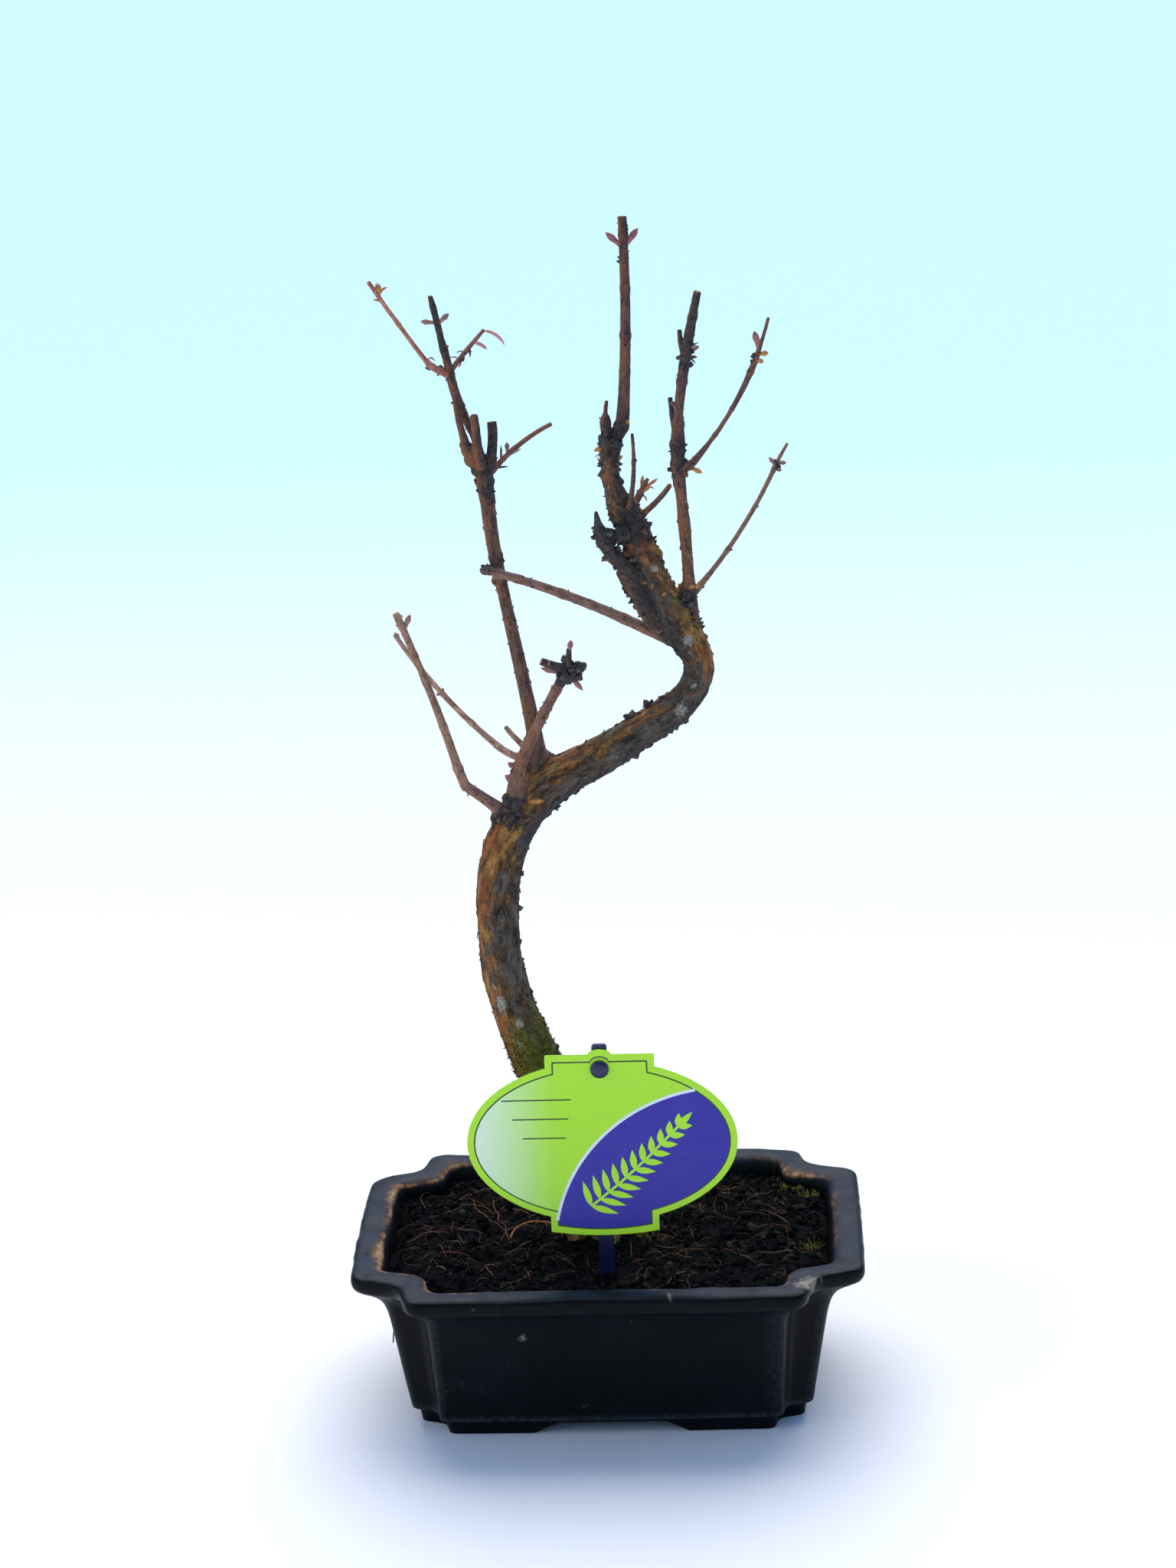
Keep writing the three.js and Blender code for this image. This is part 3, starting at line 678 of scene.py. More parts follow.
# stretches of knobbly, blackened bark: limb, from, to, strength
roughStretches = [
    ("trunk", 136, 150, 0.4), ("trunk", 206, 222, 0.3), ("trunk", 228, 272, 0.5),
    ("centre_stem", -5, 11, 0.75), ("centre_stem", 11, 24, 0.35), ("centre_stem", 24, 34, 0.75),
    ("dark_stub", -2, 40, 0.95), ("stub_foot", 2, 30, 0.65), ("stub_bridge", -2, 9, 1.0),
    ("left_knob", -2, 9, 0.55), ("left_stem", -2, 8, 0.6), ("left_front_stub", 3, 22, 0.55),
    ("left_bough", 82, 94, 0.3), ("crossing_bough", 64, 72, 0.3), ("left_bough", 64, 75, 0.15),
    ("right_bough", 8, 19, 0.65), ("right_bough", 47, 58, 0.35), ("right_stem", 3, 15, 0.7),
    ("right_stem", 35, 62, 0.75), ("right_side_stub", 0, 16, 0.7), ("right_top_stub", 0, 30, 0.6),
    ("peg_stub", 0, 10, 0.8), ("leader", -2, 8, 0.7), ("leader", 57, 68, 0.35), ("spur_core", -2, 8, 1.0),
    ("spur_cut", 0, 8, 0.9), ("spur_shoot", 0, 8, 0.9), ("spur_knuckle", 0, 6, 1.0),
    ("left_mid_shoot", 3, 26, 0.8), ("left_side_stem", -2, 8, 0.6), ("low_bough", -2, 4, 0.35),
    ("crossing_bough", -2, 16, 0.75), ("spur_bough", -2, 6, 0.5), ("left_back_stub", 2, 20, 0.7),
    ("dead_twig", 0, 30, 0.4),
]

# and single spots of it: limb, mm along it, side, mm from its axis, reach, strength
charredSpots = [
    ("right_bough", 15, 240, 2.4, 4.4, 1.3), ("spur_bough", 8, 235, 2.4, 3.4, 1.3),
    ("low_bough", 4.5, 210, 1.8, 2.6, 1.3), ("spur_bough", 4.5, 275, 3.3, 3.0, 1.2),
    ("trunk", 141.8, 192, 6.0, 3.0, 1.5), ("trunk", 142.4, 215, 6.0, 3.0, 1.5),
    ("trunk", 143.4, 240, 6.0, 3.0, 1.5), ("trunk", 144.8, 264, 6.0, 3.0, 1.4),
    ("trunk", 228, 215, 4.8, 4.5, 0.8), ("trunk", 226, 250, 4.6, 3.5, 0.5),
]

# moss and lichen on the trunk: mm along it, side, reach along, reach around, strength
mossPatches = [
    (4, 330, 20, 70, 1.0), (24, 345, 18, 46, 1.0), (46, 345, 14, 44, 0.9), (70, 340, 13, 44, 1.0),
    (66, 265, 16, 60, 0.85), (22, 230, 20, 60, 0.5), (88, 210, 12, 26, 0.4), (64, 60, 16, 50, 0.7),
    (158, 215, 14, 26, 0.6), (180, 200, 16, 26, 0.5), (240, 312, 12, 34, 0.6), (110, 20, 8, 30, 0.5),
    (30, 90, 20, 45, 0.7), (58, 215, 16, 50, 0.55),
]
lichenPatches = [
    (87, 246, 3.4, 16, 1.2), (92, 236, 1.8, 10, 0.9), (79, 278, 2.0, 14, 1.0), (72, 262, 1.6, 12, 0.8),
    (204, 275, 2.6, 22, 0.9), (213, 262, 1.5, 14, 0.8), (230, 280, 2.4, 20, 1.0), (226, 262, 1.0, 9, 0.7),
    (256, 290, 1.8, 18, 0.8), (120, 80, 5.0, 26, 0.8), (60, 100, 4.0, 24, 0.7),
]

# limbs with paler bark than the rest
paleLimbs = {
    "low_twig": 0.6, "low_inner_twig": 0.95, "left_outer_twig": 1.0, "short_stub": 1.0, "low_bough": 0.4,
    "crossing_bough": 0.4, "right_low_twig": 0.4, "spur_bough": 0.12, "left_inner_twig": 0.4,
    "left_fork_twig": 0.3,
}

# bare orange wood where bark has split away: middle, reach
wounds = [
    ((-17.0, -8.0, 195.0), (2.4, 7, 0.68)), ((31.4, 0.8, 257.8), (1.0, 3, 0.7)),
    ((14.5, -5.0, 309.0), (1.1, 5, 0.9)),
]

# limbs that end in a clean cut
cutEnds = [
    "left_back_stub", "left_fork_twig", "short_stub", "leader", "spur_cut", "low_twig", "left_side_stem",
    "left_inner_twig", "right_side_stub", "right_top_stub", "inner_twig", "right_stem",
]


def placeOnLimbs(points, names):
    # nearest limb of every point, with how far along it and at which angle round it
    best = np.full(len(points), 1e9)
    which = np.zeros(len(points), dtype=int)
    far = np.zeros(len(points))
    for index, name in enumerate(names):
        stations, axis = (rows[::3] for rows in axisOf(name))
        near = np.flatnonzero(np.all((points > axis.min(0) - 12) & (points < axis.max(0) + 12), axis=1))
        for group in np.array_split(near, max(1, len(near) // 15000)):
            gap = np.linalg.norm(points[group, None] - axis[None], axis=2) - girthAt(name, stations) / 2
            closest = gap.argmin(axis=1)
            gap = gap[np.arange(len(group)), closest]
            better = gap < best[group]
            chosen, spots = group[better], closest[better]
            best[chosen] = gap[better]
            which[chosen] = index
            lead = np.einsum("ij,ij->i", points[chosen] - axis[spots], headingAt(name, stations[spots]))
            far[chosen] = stations[spots] + lead
    angle = np.zeros(len(points))
    girth = np.zeros(len(points))
    for index, name in enumerate(names):
        mine = which == index
        right, back = acrossOf(headingAt(name, far[mine]))
        out = points[mine] - pointAt(name, far[mine])
        angle[mine] = np.arctan2(np.einsum("ij,ij->i", out, back), np.einsum("ij,ij->i", out, right))
        girth[mine] = girthAt(name, far[mine])
    return which, far, angle, girth


def spotAt(points, middle, reach):
    # 1 in the middle of a soft spot, 0 well away from it
    return np.exp(-np.linalg.norm((points - np.array(middle)) / np.array(reach), axis=1) ** 2)


def patchMask(patches, far, angle):
    mask = np.zeros(len(far))
    for middle, side, reach, spread, strength in patches:
        turn = (np.degrees(angle) - side + 180) % 360 - 180
        mask = np.maximum(mask, strength * np.exp(-((far - middle) / reach) ** 2 - (turn / spread) ** 2))
    return mask


def barkLayers(points, names, which, far, angle, girth):
    straight = np.stack([np.cos(angle) * girth / 2, np.sin(angle) * girth / 2, far], 1)
    straight += (which * bark["apart"])[:, None]
    age = np.clip((girth - bark["youngGirth"]) / bark["ageing"], 0, 1)
    fibre = cloudNoise(straight, (0.9, 0.9, 0.13), 1)
    shred = cloudNoise(straight, (1.9, 1.9, 0.33), 2)
    fine = cloudNoise(straight, (3.1, 3.1, 1.9), 3)
    broad = cloudNoise(straight, (0.17, 0.17, 0.05), 4)
    middling = cloudNoise(straight, (0.4, 0.4, 0.2), 5)
    lump = cloudNoise(straight, (0.34, 0.34, 0.26), 6) + 0.5 * cloudNoise(straight, (0.85, 0.85, 0.6), 7)
    onTrunk = which == names.index("trunk") if "trunk" in names else np.zeros(len(far), dtype=bool)
    rough = np.zeros(len(far))
    for name, start, end, strength in roughStretches:
        if name in names:
            fade = smoothStep(start - 5, start + 3, far) * (1 - smoothStep(end - 3, end + 5, far))
            rough = np.maximum(rough, np.where(which == names.index(name), strength * fade, 0))
    for limb, at, side, distance, reach, strength in charredSpots:
        gap = np.linalg.norm(points - besideLimb(limb, at, side, distance), axis=1) / reach
        rough = np.maximum(rough, strength * np.exp(-gap ** 2))
    pimple = cloudNoise(straight, (1.25, 1.25, 0.75), 8)
    # painted light and shade: the lit side turns to pale smooth bark, the far side to dark crust, on top of
    # the random crust patches
    lit = np.where(onTrunk, lookUp(litSides, far, 1), bark["plainSide"])
    cover = np.where(onTrunk, lookUp(litSides, far, 2), bark["plainCover"])
    differ = np.where(onTrunk, lookUp(litSides, far, 3), bark["plainDiffer"])
    shade = -np.cos(angle - np.radians(lit))
    crustAndShade = differ * shade + cover + 0.5 * broad + 0.5 * middling + 0.2 * pimple + 0.14 * shred + 0.1 * fine
    crust = smoothStep(-0.05, 0.13, crustAndShade)
    moss = np.where(onTrunk, patchMask(mossPatches, far, angle), 0)
    lichen = np.where(onTrunk, patchMask(lichenPatches, far, angle), 0)
    lichen = smoothStep(0.4, 0.75, lichen + 0.25 * middling + 0.4 * fine)
    wound = np.zeros(len(far))
    for middle, reach in wounds:
        wound = np.maximum(wound, spotAt(points, middle, reach))
    wound = smoothStep(0.35, 0.6, wound + 0.2 * middling + 0.15 * fine)
    oldRelief = (bark["fibreHeight"] * (fibre + 0.6 * shred + 0.35 * fine) + bark["pimpleHeight"] * pimple
                 + bark["crustHeight"] * (crust - 0.5) * (0.7 + 0.5 * shred) + 0.1 * lichen - 0.4 * wound)
    youngRelief = bark["twigHeight"] * (fibre + 0.6 * fine + 0.4 * shred)
    relief = (1 - age) * youngRelief + age * oldRelief
    ridge = 0.65 - 1.3 * np.abs(lump)
    knobbly = 0.5 * lump + 0.5 * ridge + 0.25 * shred
    relief += rough * bark["lumpHeight"] * knobbly * np.clip(girth / 8, 0.3, 1)
    cut = np.zeros(len(far))
    for name in cutEnds:
        if name in names:
            atEnd = (which == names.index(name)) & (far > lengthOf(name) - bark["cutDepth"])
            cut = np.maximum(cut, np.where(atEnd, 1, 0))
    pale = np.array([paleLimbs.get(name, 0.0) for name in names])[which]
    layers = {"age": age, "pale": pale, "crustAndShade": crustAndShade, "moss": moss, "lichen": lichen,
              "rough": rough, "cut": cut, "wound": wound}
    return relief * (1 - cut), layers, straight * (1, 1, bark["squeeze"]) * mm


# how finely the wood is meshed
woodMesh = {
    "trunkVoxel": 0.48,
    "twigVoxel": 0.24,
    "trunkFoot": 8.0,         # how deep the trunk goes on below the soil
    "twigRoot": 1.2,          # how far a twig starts inside its parent
    "thickFrom": 5,
    "thickSides": 40, "thickStep": 1.0,
    "thinSides": 20, "thinStep": 0.6,
    "knotStretch": 1.15,
    "relaxing": 3,
}


def skinOver(name, names, voxel, sunk, material):
    # one skin round overlapping limbs, then the bark's relief pushed into it
    shells = []
    for limb in names:
        size = "thick" if limbs[limb]["girth"][0][1] > woodMesh["thickFrom"] else "thin"
        foot = woodMesh["trunkFoot"] if limb == "trunk" else sunk
        shells.append(limbShell(limb, woodMesh[size + "Sides"], woodMesh[size + "Step"], foot))
    for limb, at, side, distance, radius in knots + collars:
        if limb in names:
            middle = besideLimb(limb, at, side, distance)
            shells.append(ballShell(middle, headingAt(limb, at), radius, woodMesh["knotStretch"]))
    draft = makePiece("draft", joinShells(shells), [])
    remesh = draft.modifiers.new("skin", "REMESH")
    remesh.mode = "VOXEL"
    remesh.voxel_size = voxel * mm
    skin = bpy.data.meshes.new_from_object(draft.evaluated_get(bpy.context.evaluated_depsgraph_get()))
    bpy.data.objects.remove(draft)
    points = np.empty(3 * len(skin.vertices))
    skin.vertices.foreach_get("co", points)
    points = points.reshape(-1, 3) / mm
    edges = np.empty(2 * len(skin.edges), dtype=np.int64)
    skin.edges.foreach_get("vertices", edges)
    count = len(points)
    degree = np.bincount(edges, minlength=count)[:, None]
    first, second = edges.reshape(-1, 2).T
    for _ in range(woodMesh["relaxing"]):
        total = np.stack([np.bincount(first, points[second, k], count)
                          + np.bincount(second, points[first, k], count) for k in range(3)], 1)
        points += 0.5 * (total / degree - points)
    skin.vertices.foreach_set("co", (points * mm).ravel())
    skin.update()
    normals = np.empty(3 * len(points))
    skin.vertex_normals.foreach_get("vector", normals)
    which, far, angle, girth = placeOnLimbs(points, names)
    relief, layers, straight = barkLayers(points, names, which, far, angle, girth)
    points += normals.reshape(-1, 3) * relief[:, None]
    skin.vertices.foreach_set("co", (points * mm).ravel())
    skin.name = name
    skin.polygons.foreach_set("use_smooth", np.full(len(skin.polygons), True))
    skin.materials.append(material)
    skin.update()
    piece = bpy.data.objects.new(name, skin)
    bpy.context.scene.collection.objects.link(piece)
    for layer, values in layers.items():
        paint(piece, layer, values)
    place = skin.attributes.new("barkPlace", "FLOAT_VECTOR", "POINT")
    place.data.foreach_set("vector", straight.astype(np.float32).ravel())
    return piece


def barkMaterial(name, youngDark, youngLight, youngLitTint, paleDark, paleLight):
    material, tree, shader = newMaterial(name)
    along = painted(tree, "barkPlace", "Vector")
    place = objectPlace(tree)
    streak = minus(tree, noiseOf(tree, along, 480.0, 8.0, 0.8), 0.5)
    warmth = noiseOf(tree, along, 150.0, 5.0, 0.65)
    grit = rampBetween(tree, noiseOf(tree, place, 2300.0, 2.0, 0.6), 0.3, 0.7, 0.62, 1.3)
    under = grain(tree, along, "482b11", "b68a47", 380.0, 0.14)
    rust = grain(tree, along, "4a2410", "a36132", 420.0, 0.15)
    smoothWood = mixColors(tree, rampBetween(tree, warmth, 0.44, 0.58), under["Color"], rust["Color"])
    crustGrey = grain(tree, along, "181410", "706556", 420.0, 0.15)
    crustBrown = grain(tree, along, "1d130c", "6a4b31", 460.0, 0.15)
    greying = plus(tree, warmth, times(tree, painted(tree, "crustAndShade"), 0.12))
    crustWood = mixColors(tree, rampBetween(tree, greying, 0.43, 0.6),
                          crustBrown["Color"], crustGrey["Color"])
    # painted light and shade: the bark layer is low on the lit side, which gets the pale smooth wood, and
    # high on the far side, which gets the dark crust and more charring
    ragged = plus(tree, painted(tree, "crustAndShade"), times(tree, streak, 2.6))
    oldWood = mixColors(tree, rampBetween(tree, ragged, -0.26, 0.32), smoothWood, crustWood)
    cracks = rampBetween(tree, streak, -0.2, -0.08, 0.4, 1.0)
    oldWood = mixColors(tree, 1.0, oldWood, greyOf(tree, cracks), "MULTIPLY")
    young = grain(tree, along, youngDark, youngLight, 680.0, 0.16)
    pale = grain(tree, along, paleDark, paleLight, 760.0, 0.18)
    # painted highlight: young wood on the lit side takes the pale fourth colour
    youngLit = plus(tree, painted(tree, "crustAndShade"), times(tree, streak, 1.6))
    youngWood = mixColors(tree, rampBetween(tree, youngLit, 0.3, -0.5, 0.0, 0.85),
                          young["Color"], tint(youngLitTint))
    youngWood = mixColors(tree, painted(tree, "pale"), youngWood, pale["Color"])
    wood = mixColors(tree, rampBetween(tree, painted(tree, "age"), 0.05, 0.6), youngWood, oldWood)
    charred = grain(tree, place, "17181a", "4d4844", 620.0, 0.17)
    charring = plus(tree, painted(tree, "rough"), times(tree, streak, 1.1))
    charring = plus(tree, charring, times(tree, painted(tree, "crustAndShade"), 0.4))
    wood = mixColors(tree, rampBetween(tree, charring, 0.35, 0.85, 0.0, 0.9), wood, charred["Color"])
    mossLayer = grain(tree, place, "443c17", "857a36", 900.0)
    mossSpread = plus(tree, painted(tree, "moss"), minus(tree, noiseOf(tree, place, 420.0, 5.0, 0.75), 0.5))
    wood = mixColors(tree, rampBetween(tree, mossSpread, 0.32, 0.75, 0.0, 0.8), wood, mossLayer["Color"])
    lichenLayer = grain(tree, place, "77776a", "c2c0b2", 800.0)
    wood = mixColors(tree, times(tree, painted(tree, "lichen"), 0.75), wood, lichenLayer["Color"])
    bare = grain(tree, along, "9a5424", "e0a05a", 700.0)
    wood = mixColors(tree, painted(tree, "wound"), wood, bare["Color"])
    cutLayer = grain(tree, place, "7d5c3e", "c9a878", 900.0)
    wood = mixColors(tree, painted(tree, "cut"), wood, cutLayer["Color"])
    tree.links.new(mixColors(tree, 0.8, wood, greyOf(tree, grit), "MULTIPLY"), shader["Base Color"])
    tree.links.new(rampBetween(tree, crustGrey["Height"], 0.3, 0.7, 0.92, 0.7), shader["Roughness"])
    shader["Specular IOR Level"].default_value = 0.25
    height = plus(tree, under["Height"], charred["Height"])
    tree.links.new(bumpFrom(tree, height, 0.9, 0.5), shader["Normal"])
    return material


# the fourth colour of each bark is the painted highlight on the lit side of young wood
boughBark = barkMaterial("boughBark", "402d27", "82614f", "895b3a", "6c5044", "c4a08c")
twigBark = barkMaterial("twigBark", "3a2825", "7a594c", "875838", "8a4a36", "d6937a")
paleBark = barkMaterial("paleBark", "3a2820", "7d5a44", "95602f", "6f4c3a", "d6ab8e")

trunkSkin = {
    "limbs": ["trunk", "left_bough", "crossing_bough", "spur_bough", "right_bough", "low_bough", "dark_stub",
              "stub_foot", "stub_bridge"],
    "nodes": ["trunk", "left_bough", "crossing_bough", "spur_bough", "right_bough", "low_bough", "dark_stub"],
}
twigSkins = {
    "singleTwigs": ["low_twig", "low_inner_twig", "short_stub", "right_low_twig"],
    "leftCrownTwigs": [
        "left_knob", "left_stem", "left_side_stem", "left_mid_shoot", "left_outer_twig", "left_inner_twig",
        "left_front_stub", "left_back_stub", "left_fork_twig"],
    "centreCrownTwigs": ["centre_stem", "leader", "peg_stub", "dead_twig", "fork_twig", "inner_twig"],
    "rightCrownTwigs": ["right_stem", "right_arc_twig", "right_side_stub", "right_top_stub"],
    "spurTwigs": ["spur_core", "spur_cut", "spur_shoot", "spur_knuckle"],
}
twigNodes = {
    "singleTwigs": twigSkins["singleTwigs"], "leftCrownTwigs": ["left_crown"],
    "centreCrownTwigs": ["centre_crown"], "rightCrownTwigs": ["right_crown"], "spurTwigs": ["spur_cluster"],
}


def growWood():
    trunk = skinOver("trunkAndBoughs", trunkSkin["limbs"], woodMesh["trunkVoxel"], 0.0, boughBark)
    settle(trunk, "bark", *trunkSkin["nodes"])
    for name, names in twigSkins.items():
        single = name == "singleTwigs"
        twigs = skinOver(name, names, woodMesh["twigVoxel"], woodMesh["twigRoot"],
                         paleBark if single else twigBark)
        settle(twigs, "bark" if single else "bare_twigs", *twigNodes[name])
    print("wood grown")


growWood()


# Buds: limb, mm along it, side, angle out from the limb, length, diameter, tint

buds = [
    ("leader", 57.2, 0, 38, 7.2, 2.1, 0), ("leader", 57.2, 180, 46, 7.0, 2.1, 0),
    ("left_mid_shoot", 15, 0, 58, 4.9, 1.8, 3), ("left_mid_shoot", 15.5, 180, 72, 4.9, 1.7, 3),
    ("left_outer_twig", 34.5, 0, 30, 4.6, 1.5, 2), ("left_fork_twig", 11, 180, 50, 3.8, 1.5, 3),
    ("low_twig", 54, 0, 42, 5.6, 1.8, 3), ("low_twig", 57.4, 345, 40, 2.4, 1.2, 2),
    ("low_inner_twig", 59, 0, 8, 3.2, 1.9, 3), ("right_stem", 40, 0, 55, 4.2, 1.3, 1),
    ("right_stem", 41.5, 330, 70, 3.8, 1.1, 3), ("right_stem", 38.6, 20, 85, 3.6, 1.1, 1),
    ("right_stem", 23, 180, 50, 3.4, 1.5, 1), ("right_arc_twig", 51.5, 180, 30, 6.0, 2.0, 0),
    ("right_arc_twig", 50, 0, 62, 3.2, 1.7, 2), ("right_arc_twig", 48.4, 330, 80, 2.7, 1.5, 2),
    ("right_arc_twig", 4, 0, 62, 4.6, 1.6, 2), ("right_arc_twig", 2.6, 300, 80, 3.6, 1.5, 1),
    ("right_low_twig", 52, 0, 60, 3.0, 1.4, 3), ("right_low_twig", 51, 180, 62, 3.2, 1.3, 3),
    ("right_low_twig", 50, 340, 85, 2.4, 1.3, 3), ("spur_bough", 18.5, 180, 60, 4.4, 1.7, 0),
    ("spur_bough", 12.5, 180, 44, 5.2, 1.9, 0), ("spur_core", 5, 0, 100, 5.4, 2.6, 4),
    ("spur_core", 4, 0, 118, 7.8, 1.7, 0), ("spur_core", 4, 180, 85, 5.2, 2.6, 4),
    ("spur_core", 3, 180, 104, 7.4, 1.7, 0), ("spur_core", 5, 270, 95, 4.6, 2.8, 4),
    ("spur_core", 5.5, 40, 62, 4.6, 2.6, 4), ("spur_core", 5.5, 150, 55, 4.4, 2.6, 4),
    ("spur_core", 4.5, 310, 80, 5.0, 2.4, 4), ("spur_core", 3.5, 30, 92, 5.4, 2.4, 4),
    ("spur_shoot", 5.2, 0, 8, 4.6, 1.8, 0), ("spur_cut", 4.4, 0, 6, 3.0, 2.2, 2),
    ("spur_knuckle", 3.5, 180, 30, 3.0, 2.2, 4), ("fork_twig", 10, 0, 25, 6.2, 1.1, 2),
    ("fork_twig", 9, 180, 20, 5.4, 1.2, 2), ("fork_twig", 8, 300, 40, 4.4, 1.1, 2),
    ("inner_twig", 2.5, 300, 70, 4.2, 1.6, 2), ("inner_twig", 3.5, 180, 45, 3.4, 1.3, 2),
    ("peg_stub", 1.0, 180, 100, 5.0, 1.6, 2), ("centre_stem", 23, 0, 60, 4.6, 1.6, 2),
    ("right_bough", 16, 0, 50, 4.2, 1.4, 2), ("right_bough", 14, 250, 50, 3.6, 1.4, 2),
]

# dried scales and curled bark: limb, mm along it, side, angle out, length, width, bend, tint
driedScales = [
    ("left_inner_twig", 17.0, 350, 50, 8.4, 1.6, 76, 5),
    ("left_inner_twig", 12, 350, 56, 4.8, 1.8, 50, 5), ("left_inner_twig", 9, 10, 80, 2.8, 0.9, 95, 3),
    ("left_inner_twig", 7.4, 180, 80, 3.0, 0.8, 120, 3),
    ("left_inner_twig", 6, 300, 95, 3.0, 0.8, 140, 4),
    ("left_inner_twig", 4.5, 170, 62, 4.2, 0.7, 150, 3),
    ("left_inner_twig", 8, 270, 90, 2.4, 0.8, 100, 4), ("left_inner_twig", 5, 20, 100, 3.0, 0.8, 120, 3),
    ("left_inner_twig", 9.6, 330, 90, 2.6, 0.7, 130, 4),
    ("left_inner_twig", 6.8, 0, 110, 2.6, 0.8, 90, 4), ("left_outer_twig", 8.5, 60, 62, 5.0, 0.8, 150, 3),
    ("left_outer_twig", 35, 20, 50, 4.2, 1.5, 70, 2), ("left_outer_twig", 36, 350, 24, 3.6, 1.3, 20, 3),
    ("left_outer_twig", 33, 200, 30, 3.0, 1.3, 20, 2), ("left_fork_twig", 8, 180, 38, 5.0, 1.5, 12, 3),
    ("left_fork_twig", 10, 300, 22, 5.4, 1.2, 14, 3), ("left_fork_twig", 5, 0, 30, 4.4, 1.3, 22, 4),
    ("left_fork_twig", 12, 20, 160, 4.4, 1.1, 20, 3), ("left_side_stem", 6, 180, 130, 3.6, 1.3, 30, 3),
    ("right_stem", 39, 350, 100, 3.8, 1.0, 40, 4), ("right_stem", 41, 10, 40, 4.0, 0.9, 30, 4),
    ("right_arc_twig", 6, 180, 150, 3.8, 1.2, 20, 3), ("fork_twig", 11, 330, 60, 3.6, 0.9, 60, 2),
    ("fork_twig", 8.5, 10, 75, 3.4, 0.8, 70, 2), ("low_bough", 19, 200, 110, 2.8, 1.0, 20, 3),
    ("centre_stem", 26, 190, 80, 4.6, 1.2, 50, 3),
]

# tiny buds at the other nodes: chance of one on each side, thickest wood that bears them
smallBuds = {"chance": 0.3, "thickest": 3.4, "seed": 12}


def budShell(limb, at, side, out, length, diameter):
    along = headingAt(limb, at)
    tilt = math.radians(out)
    axis = math.sin(tilt) * sideAt(limb, at, math.radians(side)) + math.cos(tilt) * along
    right, back = acrossOf(axis)
    t = np.linspace(0, 1, 13)[:, None]
    angle = fullTurn(12)[None]
    girth = np.interp(t, [0, 0.3, 0.62, 0.8, 0.93, 1], [0.55, 0.62, 1, 0.78, 0.36, 0.06])
    overlap = 0.13 * np.cos(2 * angle + np.floor(t * 5) * np.pi / 2) * np.sin(np.pi * t)
    scales = 1 + overlap + 0.09 * (t * 5 % 1)
    radius = (diameter / 2 * girth * scales)[..., None]
    spine = pointAt(limb, at) + (t * length)[..., None] * axis
    return tubeShell(spine + radius * around(angle, right, back))


def scaleShell(limb, at, side, out, length, width, bend):
    # thin curled scale that bends back along the limb
    along = headingAt(limb, at)
    lift = sideAt(limb, at, math.radians(side))
    count = 12
    turn = np.radians(out + bend * np.linspace(0, 1, count))[:, None]
    way = np.sin(turn) * lift + np.cos(turn) * along
    spine = pointAt(limb, at) + np.vstack([np.zeros(3), np.cumsum(way[:-1] * length / (count - 1), axis=0)])
    across = np.cross(along, lift)
    over = np.cross(across, way)
    t = np.linspace(0, 1, count)
    half = width / 2 * np.interp(t, [0, 0.35, 0.75, 1], [0.5, 1, 0.85, 0.12])
    ring = around(fullTurn(8), across, 0.55 * over[:, None])
    return tubeShell(spine[:, None] + half[:, None, None] * ring)


def makeBuds():
    dice = random.Random(smallBuds["seed"])
    rows = list(buds)
    for name in [limb for names in twigSkins.values() for limb in names]:
        for place in nodesOf(name):
            for side in (0, 180):
                if dice.random() < smallBuds["chance"] and girthAt(name, place) < smallBuds["thickest"]:
                    turn = side + dice.uniform(-40, 40)
                    out = dice.uniform(35, 65)
                    length = girthAt(name, place) / 2 + dice.uniform(0.5, 1.1)
                    rows.append((name, place, turn, out, length,
                                 dice.uniform(0.7, 1.0), dice.choice((1, 3, 4))))
    materials = [
        grainMaterial("budRose", "6e3836", "b9786f", 900.0, 0.5),
        grainMaterial("budBrown", "4a2a22", "86543f", 900.0, 0.6),
        grainMaterial("budOrange", "97592c", "d99a58", 900.0, 0.6),
        grainMaterial("budTan", "6d4a42", "b58d80", 900.0, 0.65),
        grainMaterial("budDark", "211b1b", "564640", 900.0, 0.7),
        grainMaterial("driedRose", "a8635a", "e0a398", 900.0, 0.6),
    ]
    shells = [budShell(*row[:-1]) for row in rows] + [scaleShell(*row[:-1]) for row in driedScales]
    tags = [row[-1] for row in rows + driedScales]
    settleMany("buds", shells, tags, materials, "bare_twigs")


makeBuds()


# Flakes and knobs of old bark
# flakes: limb, from, to, side, spread, number, size, lift
flakeZones = [
    ("trunk", 3, 60, 0, 180, 90, 1.8, 0.3), ("trunk", 60, 140, 0, 180, 90, 1.7, 0.25),
    ("trunk", 20, 205, 350, 36, 50, 2.2, 0.45), ("trunk", 140, 226, 0, 180, 90, 1.8, 0.35),
    ("trunk", 160, 205, 185, 30, 10, 2.4, 0.7), ("trunk", 226, 266, 0, 180, 70, 2.2, 0.5),
    ("centre_stem", 0, 31, 0, 180, 46, 1.9, 0.5), ("dark_stub", 4, 31, 0, 180, 22, 1.6, 0.45),
    ("left_bough", 10, 89, 0, 180, 40, 1.1, 0.2), ("spur_bough", 8, 56, 0, 180, 26, 1.0, 0.2),
    ("right_bough", 4, 50, 0, 180, 30, 1.1, 0.2), ("left_knob", 0, 8.5, 0, 180, 12, 1.3, 0.3),
    ("left_stem", 0, 30, 0, 180, 18, 1.0, 0.2), ("crossing_bough", 0, 67, 0, 180, 26, 0.9, 0.2),
    ("right_stem", 0, 56, 0, 180, 26, 1.0, 0.25), ("low_bough", 0, 18, 0, 180, 14, 1.0, 0.25),
]

